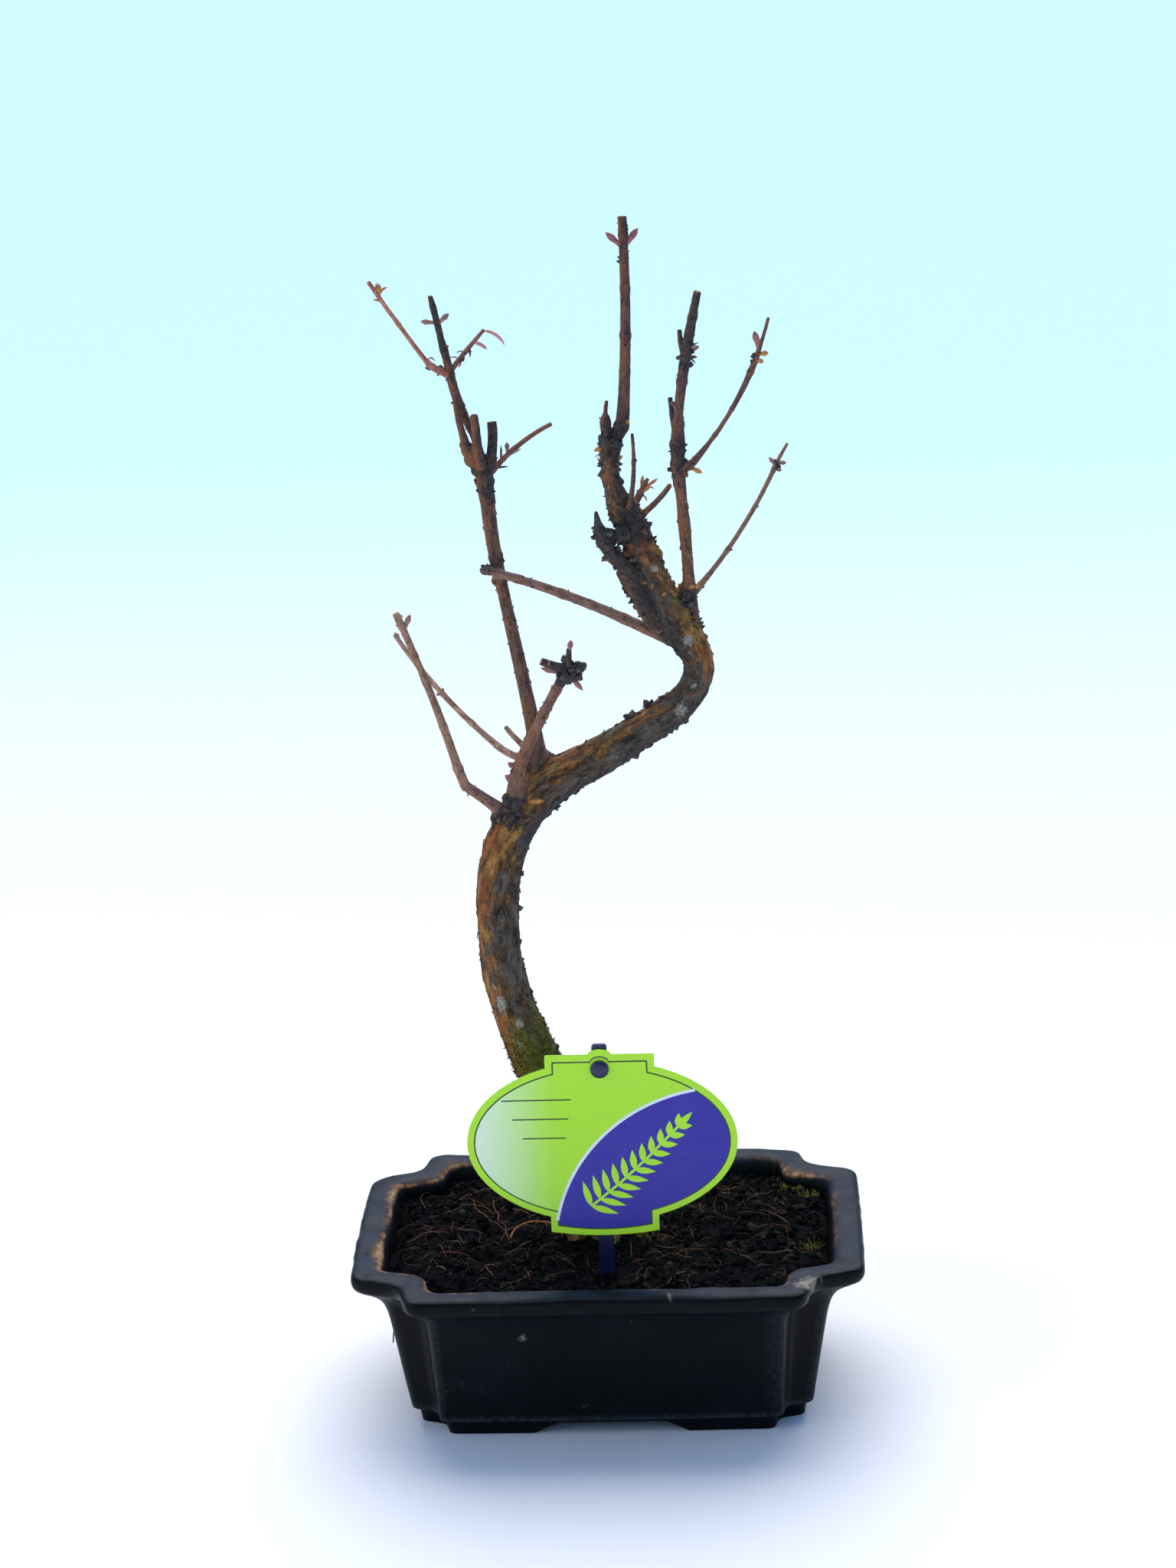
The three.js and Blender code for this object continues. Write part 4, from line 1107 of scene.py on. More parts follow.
# knobs: limb, from, to, side, spread, number, size, stretch outward
knobZones = [
    ("trunk", 228, 264, 0, 180, 40, 0.8, 1.5), ("centre_stem", 0, 31, 0, 180, 48, 0.75, 1.6),
    ("centre_stem", 0, 12, 0, 180, 34, 0.95, 1.5), ("trunk", 256, 266, 0, 180, 30, 1.0, 1.5),
    ("dark_stub", 6, 30, 0, 180, 34, 0.75, 1.4), ("stub_bridge", 0, 7, 0, 180, 16, 0.8, 1.3),
    ("stub_foot", 4, 22, 190, 70, 22, 0.7, 1.2), ("dark_stub", 20, 29, 0, 180, 12, 0.95, 1.2),
    ("trunk", 141.2, 144.6, 228, 46, 60, 1.0, 0.8), ("low_bough", 0, 6, 230, 90, 18, 1.05, 1.1),
    ("crossing_bough", 65.5, 69, 0, 180, 14, 0.5, 1.1), ("left_bough", 64.4, 65.6, 185, 35, 7, 0.55, 1.0),
    ("spur_bough", 3, 8, 190, 60, 12, 1.05, 1.1), ("left_bough", 64, 73, 250, 130, 12, 0.6, 0.8),
    ("right_bough", 9, 17, 195, 60, 26, 0.95, 1.4), ("trunk", 230, 240, 20, 60, 22, 1.0, 1.5),
    ("left_knob", 1, 8, 0, 180, 9, 0.7, 0.8), ("right_stem", 1, 13, 0, 180, 28, 0.65, 1.3),
    ("left_side_stem", 4, 8, 180, 90, 8, 0.6, 1.0), ("right_stem", 36, 43, 0, 180, 18, 0.6, 1.5),
    ("left_stem", 29, 32, 0, 180, 12, 0.6, 1.0), ("left_outer_twig", 0, 9, 0, 180, 14, 0.55, 1.0),
    ("right_arc_twig", 0, 8, 0, 180, 16, 0.6, 1.1), ("right_arc_twig", 46, 50, 0, 180, 10, 0.6, 1.0),
    ("right_low_twig", 49.5, 52.5, 0, 180, 14, 0.7, 1.0), ("spur_core", 1, 7, 0, 180, 40, 1.05, 1.4),
    ("spur_knuckle", 1, 5, 0, 180, 14, 0.85, 1.3), ("spur_cut", 0, 4, 0, 180, 6, 0.6, 1.0),
    ("spur_bough", 14, 20, 180, 40, 7, 0.5, 1.0), ("leader", 53, 58, 0, 180, 9, 0.5, 0.9),
    ("leader", 28, 30, 0, 180, 5, 0.5, 0.8), ("peg_stub", 0, 8, 0, 180, 12, 0.7, 1.0),
    ("trunk", 62, 205, 352, 34, 44, 0.95, 0.9), ("trunk", 165, 205, 182, 25, 9, 0.9, 0.65),
    ("trunk", 186, 206, 181, 14, 7, 1.3, 1.1), ("trunk", 158, 206, 2, 16, 9, 1.2, 1.0),
    ("leader", 63, 65, 0, 180, 8, 0.5, 0.6),
]

# knots of black knobs: limb, mm along it, side, mm from its axis, spread, number, size
knobSpots = [
    ("right_bough", 15, 245, 2.3, 2.7, 46, 0.95), ("spur_bough", 8.3, 225, 2.5, 1.7, 22, 0.9),
    ("low_bough", 5.4, 195, 1.8, 1.7, 22, 0.85), ("low_bough", 3.2, 245, 2.1, 1.7, 22, 0.85),
    ("spur_bough", 1.8, 275, 3.6, 1.6, 20, 0.85), ("spur_bough", 2.4, 315, 3.5, 1.4, 14, 0.75),
    ("spur_bough", 7.6, 305, 2.3, 1.2, 10, 0.7),
]


def flakeShell(dice, limb, far, angle, size, lift):
    length = size * dice.uniform(0.5, 1.3)
    width = size * dice.uniform(0.4, 0.85)
    rise = lift * dice.uniform(0.2, 1.2)
    way = dice.choice((-1, 1))
    slant = dice.uniform(-0.4, 0.4)
    u, v = np.meshgrid(np.linspace(0, 1, 5), np.linspace(-0.5, 0.5, 4), indexing="ij")
    ragged = np.array([[dice.uniform(0.7, 1.25) for _ in range(4)] for _ in range(5)])
    reach = far + way * u * length * np.where(u > 0.9, ragged, 1)
    turn = angle + (v * width * ragged * (1 - 0.2 * u) + slant * u * length) / (girthAt(limb, far) / 2 + 0.2)
    height = -0.1 + 0.25 * u + rise * u ** 2 + 0.2 * rise * (2 * v) ** 2
    out = sideAt(limb, reach, turn)
    top = pointAt(limb, reach) + out * (radiusAt(limb, reach, turn) + height)[..., None]
    under = top - out * (0.32 - 0.12 * u)[..., None]
    points = np.vstack([top.reshape(-1, 3), under.reshape(-1, 3)])
    index = np.arange(20).reshape(5, 4)
    upper = np.stack([index[:-1, :-1], index[:-1, 1:], index[1:, 1:], index[1:, :-1]], -1).reshape(-1, 4)
    rim = np.concatenate([index[0, :], index[1:, -1], index[-1, -2::-1], index[-2:0:-1, 0]])
    after = np.roll(rim, -1)
    walls = np.stack([rim, rim + 20, after + 20, after], -1)
    faces = np.vstack([upper, upper[:, ::-1] + 20, walls])
    if way < 0:
        faces = faces[:, ::-1]
    return points, faces, np.empty((0, 3), dtype=int)


def unitBall():
    work = bmesh.new()
    bmesh.ops.create_icosphere(work, subdivisions=2, radius=1.0)
    points = np.array([vertex.co[:] for vertex in work.verts])
    faces = np.array([[vertex.index for vertex in face.verts] for face in work.faces])
    work.free()
    return points, faces


ballPoints, ballFaces = unitBall()
noQuads = np.empty((0, 4), dtype=int)


def lumpShell(middle, rows, seed):
    # small irregular lump, its three axes given as rows, narrower toward the first one
    bulge = 1 + 0.6 * cloudNoise(ballPoints + seed * 7.3, 1.7, seed) + 0.4 * cloudNoise(ballPoints, 3.4, seed)
    narrow = 1 - 0.2 * np.clip(ballPoints[:, :1], 0, 1) * np.array((0.0, 1.0, 1.0))
    points = ballPoints * bulge[:, None] * narrow
    return middle + points @ np.asarray(rows), noQuads, ballFaces


def makeOldBark():
    dice = random.Random(31)
    shells, tags = [], []
    for limb, start, end, side, spread, number, size, lift in flakeZones:
        for _ in range(number):
            far = dice.uniform(start, end)
            turn = side + dice.uniform(-spread, spread)
            shells.append(flakeShell(dice, limb, far, math.radians(turn), size, lift))
            # painted shade: flakes on the side away from the light take the darker colours, those toward it
            # may be ochre
            lit = lookUp(litSides, far, 1) if limb == "trunk" else bark["plainSide"]
            dark = -math.cos(math.radians(turn - lit)) + dice.uniform(-0.6, 0.6) > -0.3
            tags.append(dice.choice((0, 0, 1, 2)) if dark else dice.choice((1, 2, 3)))
    materials = [
        grainMaterial("flakeBlack", "191a1c", "48453f", 700.0, 0.85),
        grainMaterial("flakeGrey", "332f2d", "675e55", 700.0, 0.85),
        grainMaterial("flakeBrown", "452d1c", "7d5836", 700.0, 0.8),
        grainMaterial("flakeOchre", "6e4824", "a87c44", 700.0, 0.8),
    ]
    settleMany("barkFlakes", shells, tags, materials, "bark", False)
    shells, tags = [], []
    for limb, start, end, side, spread, number, size, stretch in knobZones:
        for _ in range(number):
            far = dice.uniform(start, end)
            turn = math.radians(side + dice.uniform(-spread, spread))
            lump = size * dice.uniform(0.4, 1.1)
            out = sideAt(limb, far, turn)
            along = headingAt(limb, far) + 0.5 * dice.uniform(-1, 1) * out
            rows = [out * lump * stretch * dice.uniform(0.7, 1.3), along * lump * dice.uniform(0.7, 1.3),
                    np.cross(out, along) * lump * dice.uniform(0.6, 1.1)]
            middle = pointAt(limb, far) + out * (radiusAt(limb, far, turn) + 0.15 * lump)
            shells.append(lumpShell(middle, rows, dice.randrange(1000)))
            tags.append(dice.choice((0, 0, 0, 0, 1, 1, 1, 2)))
    for limb, at, side, distance, spread, number, size in knobSpots:
        middle = besideLimb(limb, at, side, distance)
        for _ in range(number):
            out = np.array([dice.gauss(0, 1) for _ in range(3)])
            out /= np.linalg.norm(out)
            right, back = acrossOf(out)
            lump = size * dice.uniform(0.5, 1.1)
            rows = [out * lump * 1.3, right * lump, back * lump * dice.uniform(0.6, 1.0)]
            shells.append(lumpShell(middle + out * spread * dice.uniform(0.4, 1), rows, dice.randrange(1000)))
            tags.append(dice.choice((0, 0, 0, 1)))
    settleMany("barkKnobs", shells, tags, materials[:3], "bark")
    print("old bark set on")


makeOldBark()


# Pot: each level is height, half length, half depth and size of the indented corner

pot = {
    "outside": [
        (0, 59.5, 37.5, 9.5), (4.4, 60.2, 38.2, 9.5), (5, 60.3, 38.3, 9.5), (5.1, 60.5, 38.6, 9.5),
        (5.5, 62, 40.4, 9.8), (5.6, 62.2, 40.6, 9.8), (6.4, 62.4, 40.8, 9.9), (34, 66.8, 47, 13.1),
        (39.5, 67.9, 48.2, 13.9), (43, 69.3, 49.6, 14.7), (45.4, 71.4, 51.6, 15.6), (47.2, 74.2, 54, 16.8),
        (48.4, 76.6, 56, 17.8), (49.2, 77.9, 57, 18.3), (51.4, 78.5, 57.5, 18.5), (53.1, 78.2, 57.2, 18.4),
        (53.7, 77.4, 56.4, 18.2), (54, 76, 55, 17.9)],
    "inside": [
        (54, 71.6, 50.6, 16.8), (53, 69.4, 48.2, 16.2), (50, 68, 46.8, 15.6), (44, 66.4, 46.6, 14.4),
        (7, 60.2, 38.6, 9.4)],
    "bow": 0.5, "cornerRound": 4.5, "legIn": 0.84, "legBack": 0.73,
    "roundSteps": 7, "longSteps": 28, "shortSteps": 5,
    "archHeight": 3.8, "archFront": (25, 16.5), "archSide": (15, 9),
    "drainRadius": 4.0, "drainOffset": 34.0,
    "rimWave": 0.42, "wallWave": 0.16,
    "lip": (52.9, 0.85),                  # height and reach of the crusted edge
    "ledge": (6.0, 0.9, 0.25),            # paler lines on the outside, partly wear and partly painted highlight: height, reach, strength
    "browHighlight": (49.0, 0.8, 0.05),
    "ridgeWear": 0.08,
    "cornerScuff": ((65, -48, 54), (9, 6, 6)),
    "smearStrength": 0.72,
    "smears": [                           # middle, reach
        ((-26, -48, 37), (2.6, 6, 3.4)), ((30, -47, 33), (1.6, 6, 2.6)), ((-50, -45, 17), (2.2, 6, 3.0)),
        ((8, -48, 43), (7, 6, 1.0)), ((44, -44, 14), (3, 6, 1.6)), ((-8, -44, 12), (2.4, 6, 1.4)),
        ((-2, -56, 51), (1.3, 6, 3.0)), ((19, -56, 53), (1.8, 6, 1.3)), ((41, -46, 32), (1.9, 6, 1.5)),
        ((-40, -56, 51), (1.2, 6, 1.0)), ((-14, -46, 22), (2.4, 6, 1.7)),
    ],
}


def curveOf(start, middle, end, count):
    t = np.linspace(0, 1, count, endpoint=False)[:, None]
    return (1 - t) ** 2 * start + 2 * t * (1 - t) * middle + t ** 2 * end


def toward(start, end, reach):
    return start + (end - start) / np.linalg.norm(end - start) * reach


def potOutline(halfLong, halfDeep, notch):
    corner = [(halfLong, halfDeep - notch),
              (halfLong - pot["legIn"] * notch, halfDeep - pot["legBack"] * notch),
              (halfLong - notch, halfDeep)]
    points = []
    for sx, sy, order in ((1, 1, 1), (-1, 1, -1), (-1, -1, 1), (1, -1, -1)):
        points += [np.array((sx * x, sy * y)) for x, y in corner[::order]]
    reach = pot["cornerRound"] * notch / max(level[3] for level in pot["outside"])
    outline = []
    for i, point in enumerate(points):
        after = points[(i + 1) % 12]
        leave = toward(point, after, reach)
        arrive = toward(after, point, reach)
        outline.append(curveOf(toward(point, points[i - 1], reach), point, leave, pot["roundSteps"]))
        bulge = (leave + arrive) / 2
        if i % 3 == 2:
            out = np.array((arrive[1] - leave[1], leave[0] - arrive[0]))
            bulge = bulge + out / np.linalg.norm(out) * 2 * pot["bow"]
        outline.append(curveOf(leave, bulge, arrive, pot["longSteps" if i % 3 == 2 else "shortSteps"]))
    return np.vstack(outline)


def potRing(level):
    outline = potOutline(*level[1:])
    return np.column_stack([outline, np.full(len(outline), level[0])])


def roundOff(levels, rounds):
    # corner cutting, which turns the moulded steps into soft ones
    levels = np.array(levels, dtype=float)
    for _ in range(rounds):
        first, second = levels[:-1], levels[1:]
        cut = np.stack([0.75 * first + 0.25 * second, 0.25 * first + 0.75 * second], 1).reshape(-1, 4)
        levels = np.vstack([levels[:1], cut, levels[-1:]])
    return levels


def slabShell(outline, near, far):
    # flat outline in x and z, from y = near back to y = far
    rings = np.array([[(x, y, z) for x, z in outline] for y in (far, near)])
    count = len(outline)
    points = rings.reshape(-1, 3)
    loop = [Vector((x, z, 0)) for x, z in outline]
    fill = np.array(geometry.tessellate_polygon([loop]))
    corners = np.array(outline)[fill]
    first, second = corners[:, 1] - corners[:, 0], corners[:, 2] - corners[:, 0]
    flat = first[:, 0] * second[:, 1] - first[:, 1] * second[:, 0]
    fill = np.where((flat > 0)[:, None], fill, fill[:, ::-1])
    return points, ringQuads(2, count), np.vstack([fill[:, ::-1], fill + count])


def cutAway(piece, shell):
    cutter = makePiece("cutter", shell, [])
    modifier = piece.modifiers.new("cut", "BOOLEAN")
    modifier.operation = "DIFFERENCE"
    modifier.solver = "MANIFOLD"
    modifier.object = cutter
    result = bpy.data.meshes.new_from_object(piece.evaluated_get(bpy.context.evaluated_depsgraph_get()))
    piece.modifiers.clear()
    piece.data = result
    bpy.data.objects.remove(cutter)


def archOutline(bottom, top):
    high = pot["archHeight"]
    return [(-bottom - 1, -1), (bottom + 1, -1), (top, high), (-top, high)]


def potMaterial():
    material, tree, shader = newMaterial("potPlastic")
    film = dust(tree, 38.0, 0.5, 0.9)
    place = objectPlace(tree)
    plastic = mixColors(tree, noiseOf(tree, place, 240.0, 5.0, 0.65), tint("020304"), tint("080a0d"))
    dusty = mixColors(tree, times(tree, film["Mask"], 0.03), plastic, tint("66768a"))
    rubbed = rampBetween(tree, noiseOf(tree, place, 75.0, 7.0, 0.78), 0.6, 0.75, 0.0, 0.13)
    dusty = mixColors(tree, rubbed, dusty, tint("4c525a"))
    # painted sky reflection together with settled dust: the rim's top faces get a mottled blue-grey tint
    mottled = rampBetween(tree, noiseOf(tree, place, 170.0, 6.0, 0.7), 0.3, 0.7, 0.03, 0.13)
    topDustAndReflection = times(tree, painted(tree, "topFace"), mottled)
    dusty = mixColors(tree, topDustAndReflection, dusty, tint("4f6a8c"))
    # partly wear and partly painted highlight: paler lines along the foot ledge and the corner ridges, and a
    # painted highlight along the rim's outer edge
    wornAndHighlit = times(tree, painted(tree, "wearAndHighlight"), rampBetween(tree, film["Height"], 0.3, 0.6))
    dusty = mixColors(tree, wornAndHighlit, dusty, tint("59616b"))
    crust = grain(tree, place, "63421f", "cdb083", 300.0, 0.22)
    gaps = minus(tree, noiseOf(tree, place, 62.0, 3.0, 0.6), 0.5)
    crumble = minus(tree, noiseOf(tree, place, 420.0, 6.0, 0.75), 0.52)
    edge = plus(tree, painted(tree, "limeEdge"), times(tree, gaps, 1.9))
    edge = plus(tree, edge, times(tree, crumble, 1.7))
    near = rampBetween(tree, painted(tree, "limeEdge"), 0.02, 0.15)
    stained = times(tree, rampBetween(tree, edge, 0.3, 0.7, 0.0, 0.62), near)
    dusty = mixColors(tree, stained, dusty, tint("744a20"))
    shown = times(tree, rampBetween(tree, edge, 0.62, 0.98, 0.0, 0.72), near)
    crusted = mixColors(tree, shown, dusty, crust["Color"])
    scuff = plus(tree, painted(tree, "scuff"), times(tree, crumble, 1.8))
    scuffed = mixColors(tree, rampBetween(tree, scuff, 0.48, 0.95, 0.0, 0.65), crusted, tint("aaa08f"))
    tree.links.new(scuffed, shader["Base Color"])
    tree.links.new(rampBetween(tree, film["Mask"], 0.0, 0.8, 0.4, 0.7), shader["Roughness"])
    shader["Specular IOR Level"].default_value = 0.1
    height = plus(tree, times(tree, film["Height"], 0.5), crust["Height"])
    tree.links.new(bumpFrom(tree, height, 0.3, 0.3), shader["Normal"])
    return material


def lineAt(heights, middle, reach):
    return np.exp(-((heights - middle) / reach) ** 2)


def makePot():
    levels = roundOff(pot["outside"] + pot["inside"], 2)
    rings = np.array([potRing(level) for level in levels])
    shell = tubeShell(rings)
    points = shell[0]
    out = points * (1, 1, 0) / np.maximum(np.linalg.norm(points[:, :2], axis=1), 1)[:, None]
    flat = points * (1, 1, 0.4)
    rim = smoothStep(42, 52, points[:, 2])
    wave = cloudNoise(flat, 0.07, 21) + 0.5 * cloudNoise(flat, 0.2, 22) + 0.3 * cloudNoise(flat, 0.5, 23)
    points += out * (rim * pot["rimWave"] * wave)[:, None]
    dip = cloudNoise(flat, 0.09, 24) + 0.5 * cloudNoise(flat, 0.35, 25) - 0.6
    points[:, 2] += rim * pot["rimWave"] * dip
    wall = smoothStep(7, 12, points[:, 2]) * (1 - rim)
    points += out * (wall * pot["wallWave"] * cloudNoise(points, 0.06, 26))[:, None]
    piece = makePiece("potShell", shell, [potMaterial()])
    step = np.concatenate([np.repeat(np.arange(len(levels)), rings.shape[1]), [0, len(levels) - 1]])
    peak = int(np.argmax(levels[:, 0]))
    x, y, z = points.T
    lip = lineAt(z, *pot["lip"]) * smoothStep(peak, peak + 4, step)
    share = (0.42 + 0.45 * smoothStep(25, 64, -x) + 0.1 * smoothStep(40, 66, x) + 0.14 * smoothStep(10, 45, y)
             + 0.22 * smoothStep(18, 42, -y) * smoothStep(30, 52, -x))
    paint(piece, "limeEdge", share * lip)
    smear = np.zeros(len(points))
    for middle, reach in pot["smears"]:
        smear = np.maximum(smear, pot["smearStrength"] * spotAt(points, middle, reach))
    rubbedTop = 0.2 * smoothStep(peak - 9, peak - 5, step) * (z > 53) * (1 - lip)
    paint(piece, "scuff", spotAt(points, *pot["cornerScuff"]) + smear + rubbedTop)
    sides = [[pot["roundSteps"], pot["longSteps" if i % 3 == 2 else "shortSteps"]] for i in range(12)]
    ridge = np.concatenate([np.repeat([i % 3 != 1, 0], sides[i]) for i in range(12)])
    ridge = np.append(np.tile(ridge, len(levels)), [0, 0])
    ridge = ridge * smoothStep(7, 12, z) * (1 - smoothStep(44, 49, z))
    # paler lines: the ledge partly worn, the brow a painted highlight along the rim's outer edge
    lines = sum(strength * lineAt(z, height, reach)
                for height, reach, strength in (pot["ledge"], pot["browHighlight"]))
    paint(piece, "wearAndHighlight", (lines + pot["ridgeWear"] * ridge) * (step < peak))
    # top faces of the rim, which carry the painted sky reflection and dust
    paint(piece, "topFace", smoothStep(peak - 8, peak - 2, step) * smoothStep(51, 53.5, z))
    far = pot["outside"][0][1] + 10
    cutAway(piece, slabShell(archOutline(*pot["archFront"]), -far, far))
    points, quads, tris = slabShell(archOutline(*pot["archSide"]), -far, far)
    cutAway(piece, (points[:, [1, 0, 2]] * (1, -1, 1), quads, tris))
    angle = fullTurn(32)
    for side in (-1, 1):
        ring = np.column_stack([side * pot["drainOffset"] + pot["drainRadius"] * np.cos(angle),
                                pot["drainRadius"] * np.sin(angle), np.zeros(len(angle))])
        cutAway(piece, tubeShell(np.array([ring + (0, 0, -3), ring + (0, 0, 12)])))
    sharpen(piece, 38)
    settle(piece, "pot_plastic", "pot")
    print("pot moulded")


makePot()


# Soil: bed, crumbs, clods, root fibres and moss

soil = {
    "level": 49.2,
    "mound": 2.6,            # how much higher it stands round the trunk
    "under": 30.0,           # where the bed ends below
    "gap": 0.15,             # left free along the pot
    "halfLong": 68,
    "halfDeep": 47,
    "crumbs": 4600,
    "clods": 900,
    "fibres": 330,
    "hangingRadius": 0.22,
}
foot = np.array([-2.5, 0.0])


def soilHeight(x, y):
    flat = np.stack([np.ravel(x), np.ravel(y), np.zeros(np.size(x))], 1).astype(float)
    near = np.exp(-(np.linalg.norm(flat[:, :2] - foot, axis=1) / 22) ** 2)
    rise = (1.2 * cloudNoise(flat, 0.06, 41) + 1.1 * cloudNoise(flat, 0.19, 42)
            + 0.8 * cloudNoise(flat, 0.5, 43) + 0.4 * cloudNoise(flat, 1.3, 44))
    return (soil["level"] + soil["mound"] * near + 0.8 * rise).reshape(np.shape(x))


def soilOutline(inset):
    inner = pot["inside"][::-1]
    sizes = [lookUp(inner, soil["level"], column) for column in (1, 2, 3)]
    return potOutline(sizes[0] - inset, sizes[1] - inset, sizes[2])


def insideSoil(dice, loop):
    # a spot within the outline, by counting how often a line from it crosses
    ahead = np.roll(loop, -1, axis=0)
    run, rise = (ahead - loop).T
    while True:
        x = dice.uniform(-soil["halfLong"], soil["halfLong"])
        y = dice.uniform(-soil["halfDeep"], soil["halfDeep"])
        crosses = (loop[:, 1] > y) != (ahead[:, 1] > y)
        reach = run * (y - loop[:, 1]) / (rise + 1e-12) + loop[:, 0]
        if np.count_nonzero(crosses & (x < reach)) % 2:
            return x, y


def makeSoil():
    rim = soilOutline(soil["gap"])
    rings = [np.column_stack([rim * 0.9, np.full(len(rim), soil["under"])])]
    for part in np.linspace(0.012, 1, 80)[::-1]:
        spots = rim * part
        height = soilHeight(spots[:, 0], spots[:, 1]) - 1.4 * smoothStep(0.92, 1.0, part)
        rings.append(np.column_stack([spots, height]))
    bed = makePiece("soilBed", tubeShell(np.array(rings)),
                    [grainMaterial("darkCompost", "020203", "0b0b0d", 420.0, 0.95, 0.9, 0.06)])
    settle(bed, "potting_soil", "soil")

    dice = random.Random(5)
    shells, tags = [], []
    octa = np.array([(1, 0, 0), (0, 1, 0), (-1, 0, 0), (0, -1, 0), (0, 0, 1), (0, 0, -1)], dtype=float)
    octaFaces = np.array([(0, 1, 4), (1, 2, 4), (2, 3, 4), (3, 0, 4),
                          (1, 0, 5), (2, 1, 5), (3, 2, 5), (0, 3, 5)])
    crumbField, clodField = soilOutline(0.6), soilOutline(1.5)
    for _ in range(soil["crumbs"]):
        x, y = insideSoil(dice, crumbField)
        size = dice.uniform(0.2, 0.7)
        wobble = np.array([[dice.uniform(0.6, 1.3)] for _ in range(6)])
        axis = Vector((dice.uniform(-1, 1), dice.uniform(-1, 1), 1))
        turn = np.array(Matrix.Rotation(dice.uniform(0, 6.3), 3, axis))
        spot = np.array((x, y, float(soilHeight(x, y)) + 0.15 * size))
        shells.append((spot + size * (octa * wobble) @ turn.T, noQuads, octaFaces))
        tags.append(dice.choice((0, 0, 0, 0, 1, 1, 1, 2)))
    for _ in range(soil["clods"]):
        x, y = insideSoil(dice, clodField)
        size = dice.uniform(0.6, 1.9)
        spot = np.array((x, y, float(soilHeight(x, y)) - 0.1 * size))
        turn = np.array(Matrix.Rotation(dice.uniform(0, 6.3), 3, "Z"))
        rows = turn * np.array([[dice.uniform(0.8, 1.7)], [dice.uniform(0.5, 0.9)], [dice.uniform(0.5, 0.9)]])
        shells.append(lumpShell(spot, rows * size, dice.randrange(1000)))
        tags.append(dice.choice((0, 0, 0, 0, 1, 1, 1, 2)))
    materials = [
        grainMaterial("crumbBlack", "020203", "0a0a0c", 600.0, 0.95, 0.5, 0.06),
        grainMaterial("crumbBrown", "060607", "141315", 600.0, 0.95, 0.5, 0.06),
        grainMaterial("crumbTan", "15120f", "342c25", 600.0, 0.9, 0.5, 0.1),
    ]
    settleMany("soilCrumbs", shells, tags, materials, "potting_soil", False)
    print("soil filled")


makeSoil()

# longer roots that lie on the soil: start, heading, bend per mm, length, thickness, lift
longRoots = [
    ((-31.1, -4.5), 70, -6.4, 24, 0.7, 2.2), ((-38.2, 27.3), -83, 0.3, 38, 0.32, 0.6),
    ((-44.9, 27.6), -72, 0.4, 37, 0.3, 0.5), ((-64.0, -3.0), 38, -1.2, 15, 0.36, 0.8),
    ((-58.0, 13.0), 34, 1.5, 17, 0.3, 0.6), ((39.4, 21.1), 42, -0.5, 20, 0.36, 0.8),
    ((47.0, -16.3), 10, 1.0, 12, 0.34, 0.6), ((-52.0, 24.0), 10, -4.0, 18, 0.26, 0.8),
    ((20.0, 30.0), -20, 3.0, 22, 0.3, 0.5), ((-20.0, 34.0), 0, 2.0, 24, 0.3, 0.5),
    ((56.0, 4.0), 120, 3.0, 14, 0.3, 1.0), ((-60.0, 6.0), -40, 2.5, 14, 0.26, 0.8),
    ((-56.0, -14.0), 20, -3.0, 16, 0.26, 0.5), ((26.0, -20.0), 160, 3.5, 14, 0.26, 0.6),
]

# and roots that hang down outside, under the rim
hangingRoots = [
    [(-66.3, -25.0, 35.0), (-66.9, -25.2, 32.4), (-67.0, -25.0, 30.0),
     (-67.3, -25.4, 27.6), (-67.5, -25.0, 25.4)],
    [(68.0, -37.5, 49.2), (68.6, -38.0, 48.0), (68.5, -38.2, 46.4), (68.1, -38.0, 44.6)],
]


def fibreShell(start, heading, bend, length, thick, lift, sides=5):
    count = max(8, int(length / 0.7))
    t = np.linspace(0, 1, count)
    turn = np.radians(heading + bend * t * length + 12 * np.sin(t * length / 2.3 + heading))
    steps = np.stack([np.cos(turn), np.sin(turn)], 1) * length / count
    path = np.asarray(start) + np.vstack([np.zeros(2), np.cumsum(steps[:-1], axis=0)])
    rest = soilHeight(path[:, 0], path[:, 1])
    rest = np.convolve(np.pad(rest, 2, mode="edge"), np.full(5, 0.2), mode="valid") + 0.35
    spine = np.column_stack([path, rest + lift * np.sin(np.pi * t) ** 1.4])
    along = np.gradient(spine, axis=0)
    along /= np.linalg.norm(along, axis=1, keepdims=True)
    side = np.cross(along, (0, 0, 1.0))
    side /= np.linalg.norm(side, axis=1, keepdims=True)
    up = np.cross(side, along)
    radius = thick / 2 * (1 - 0.6 * t ** 3)
    out = around(fullTurn(sides), side[:, None], up[:, None])
    return tubeShell(spine[:, None] + radius[:, None, None] * out)


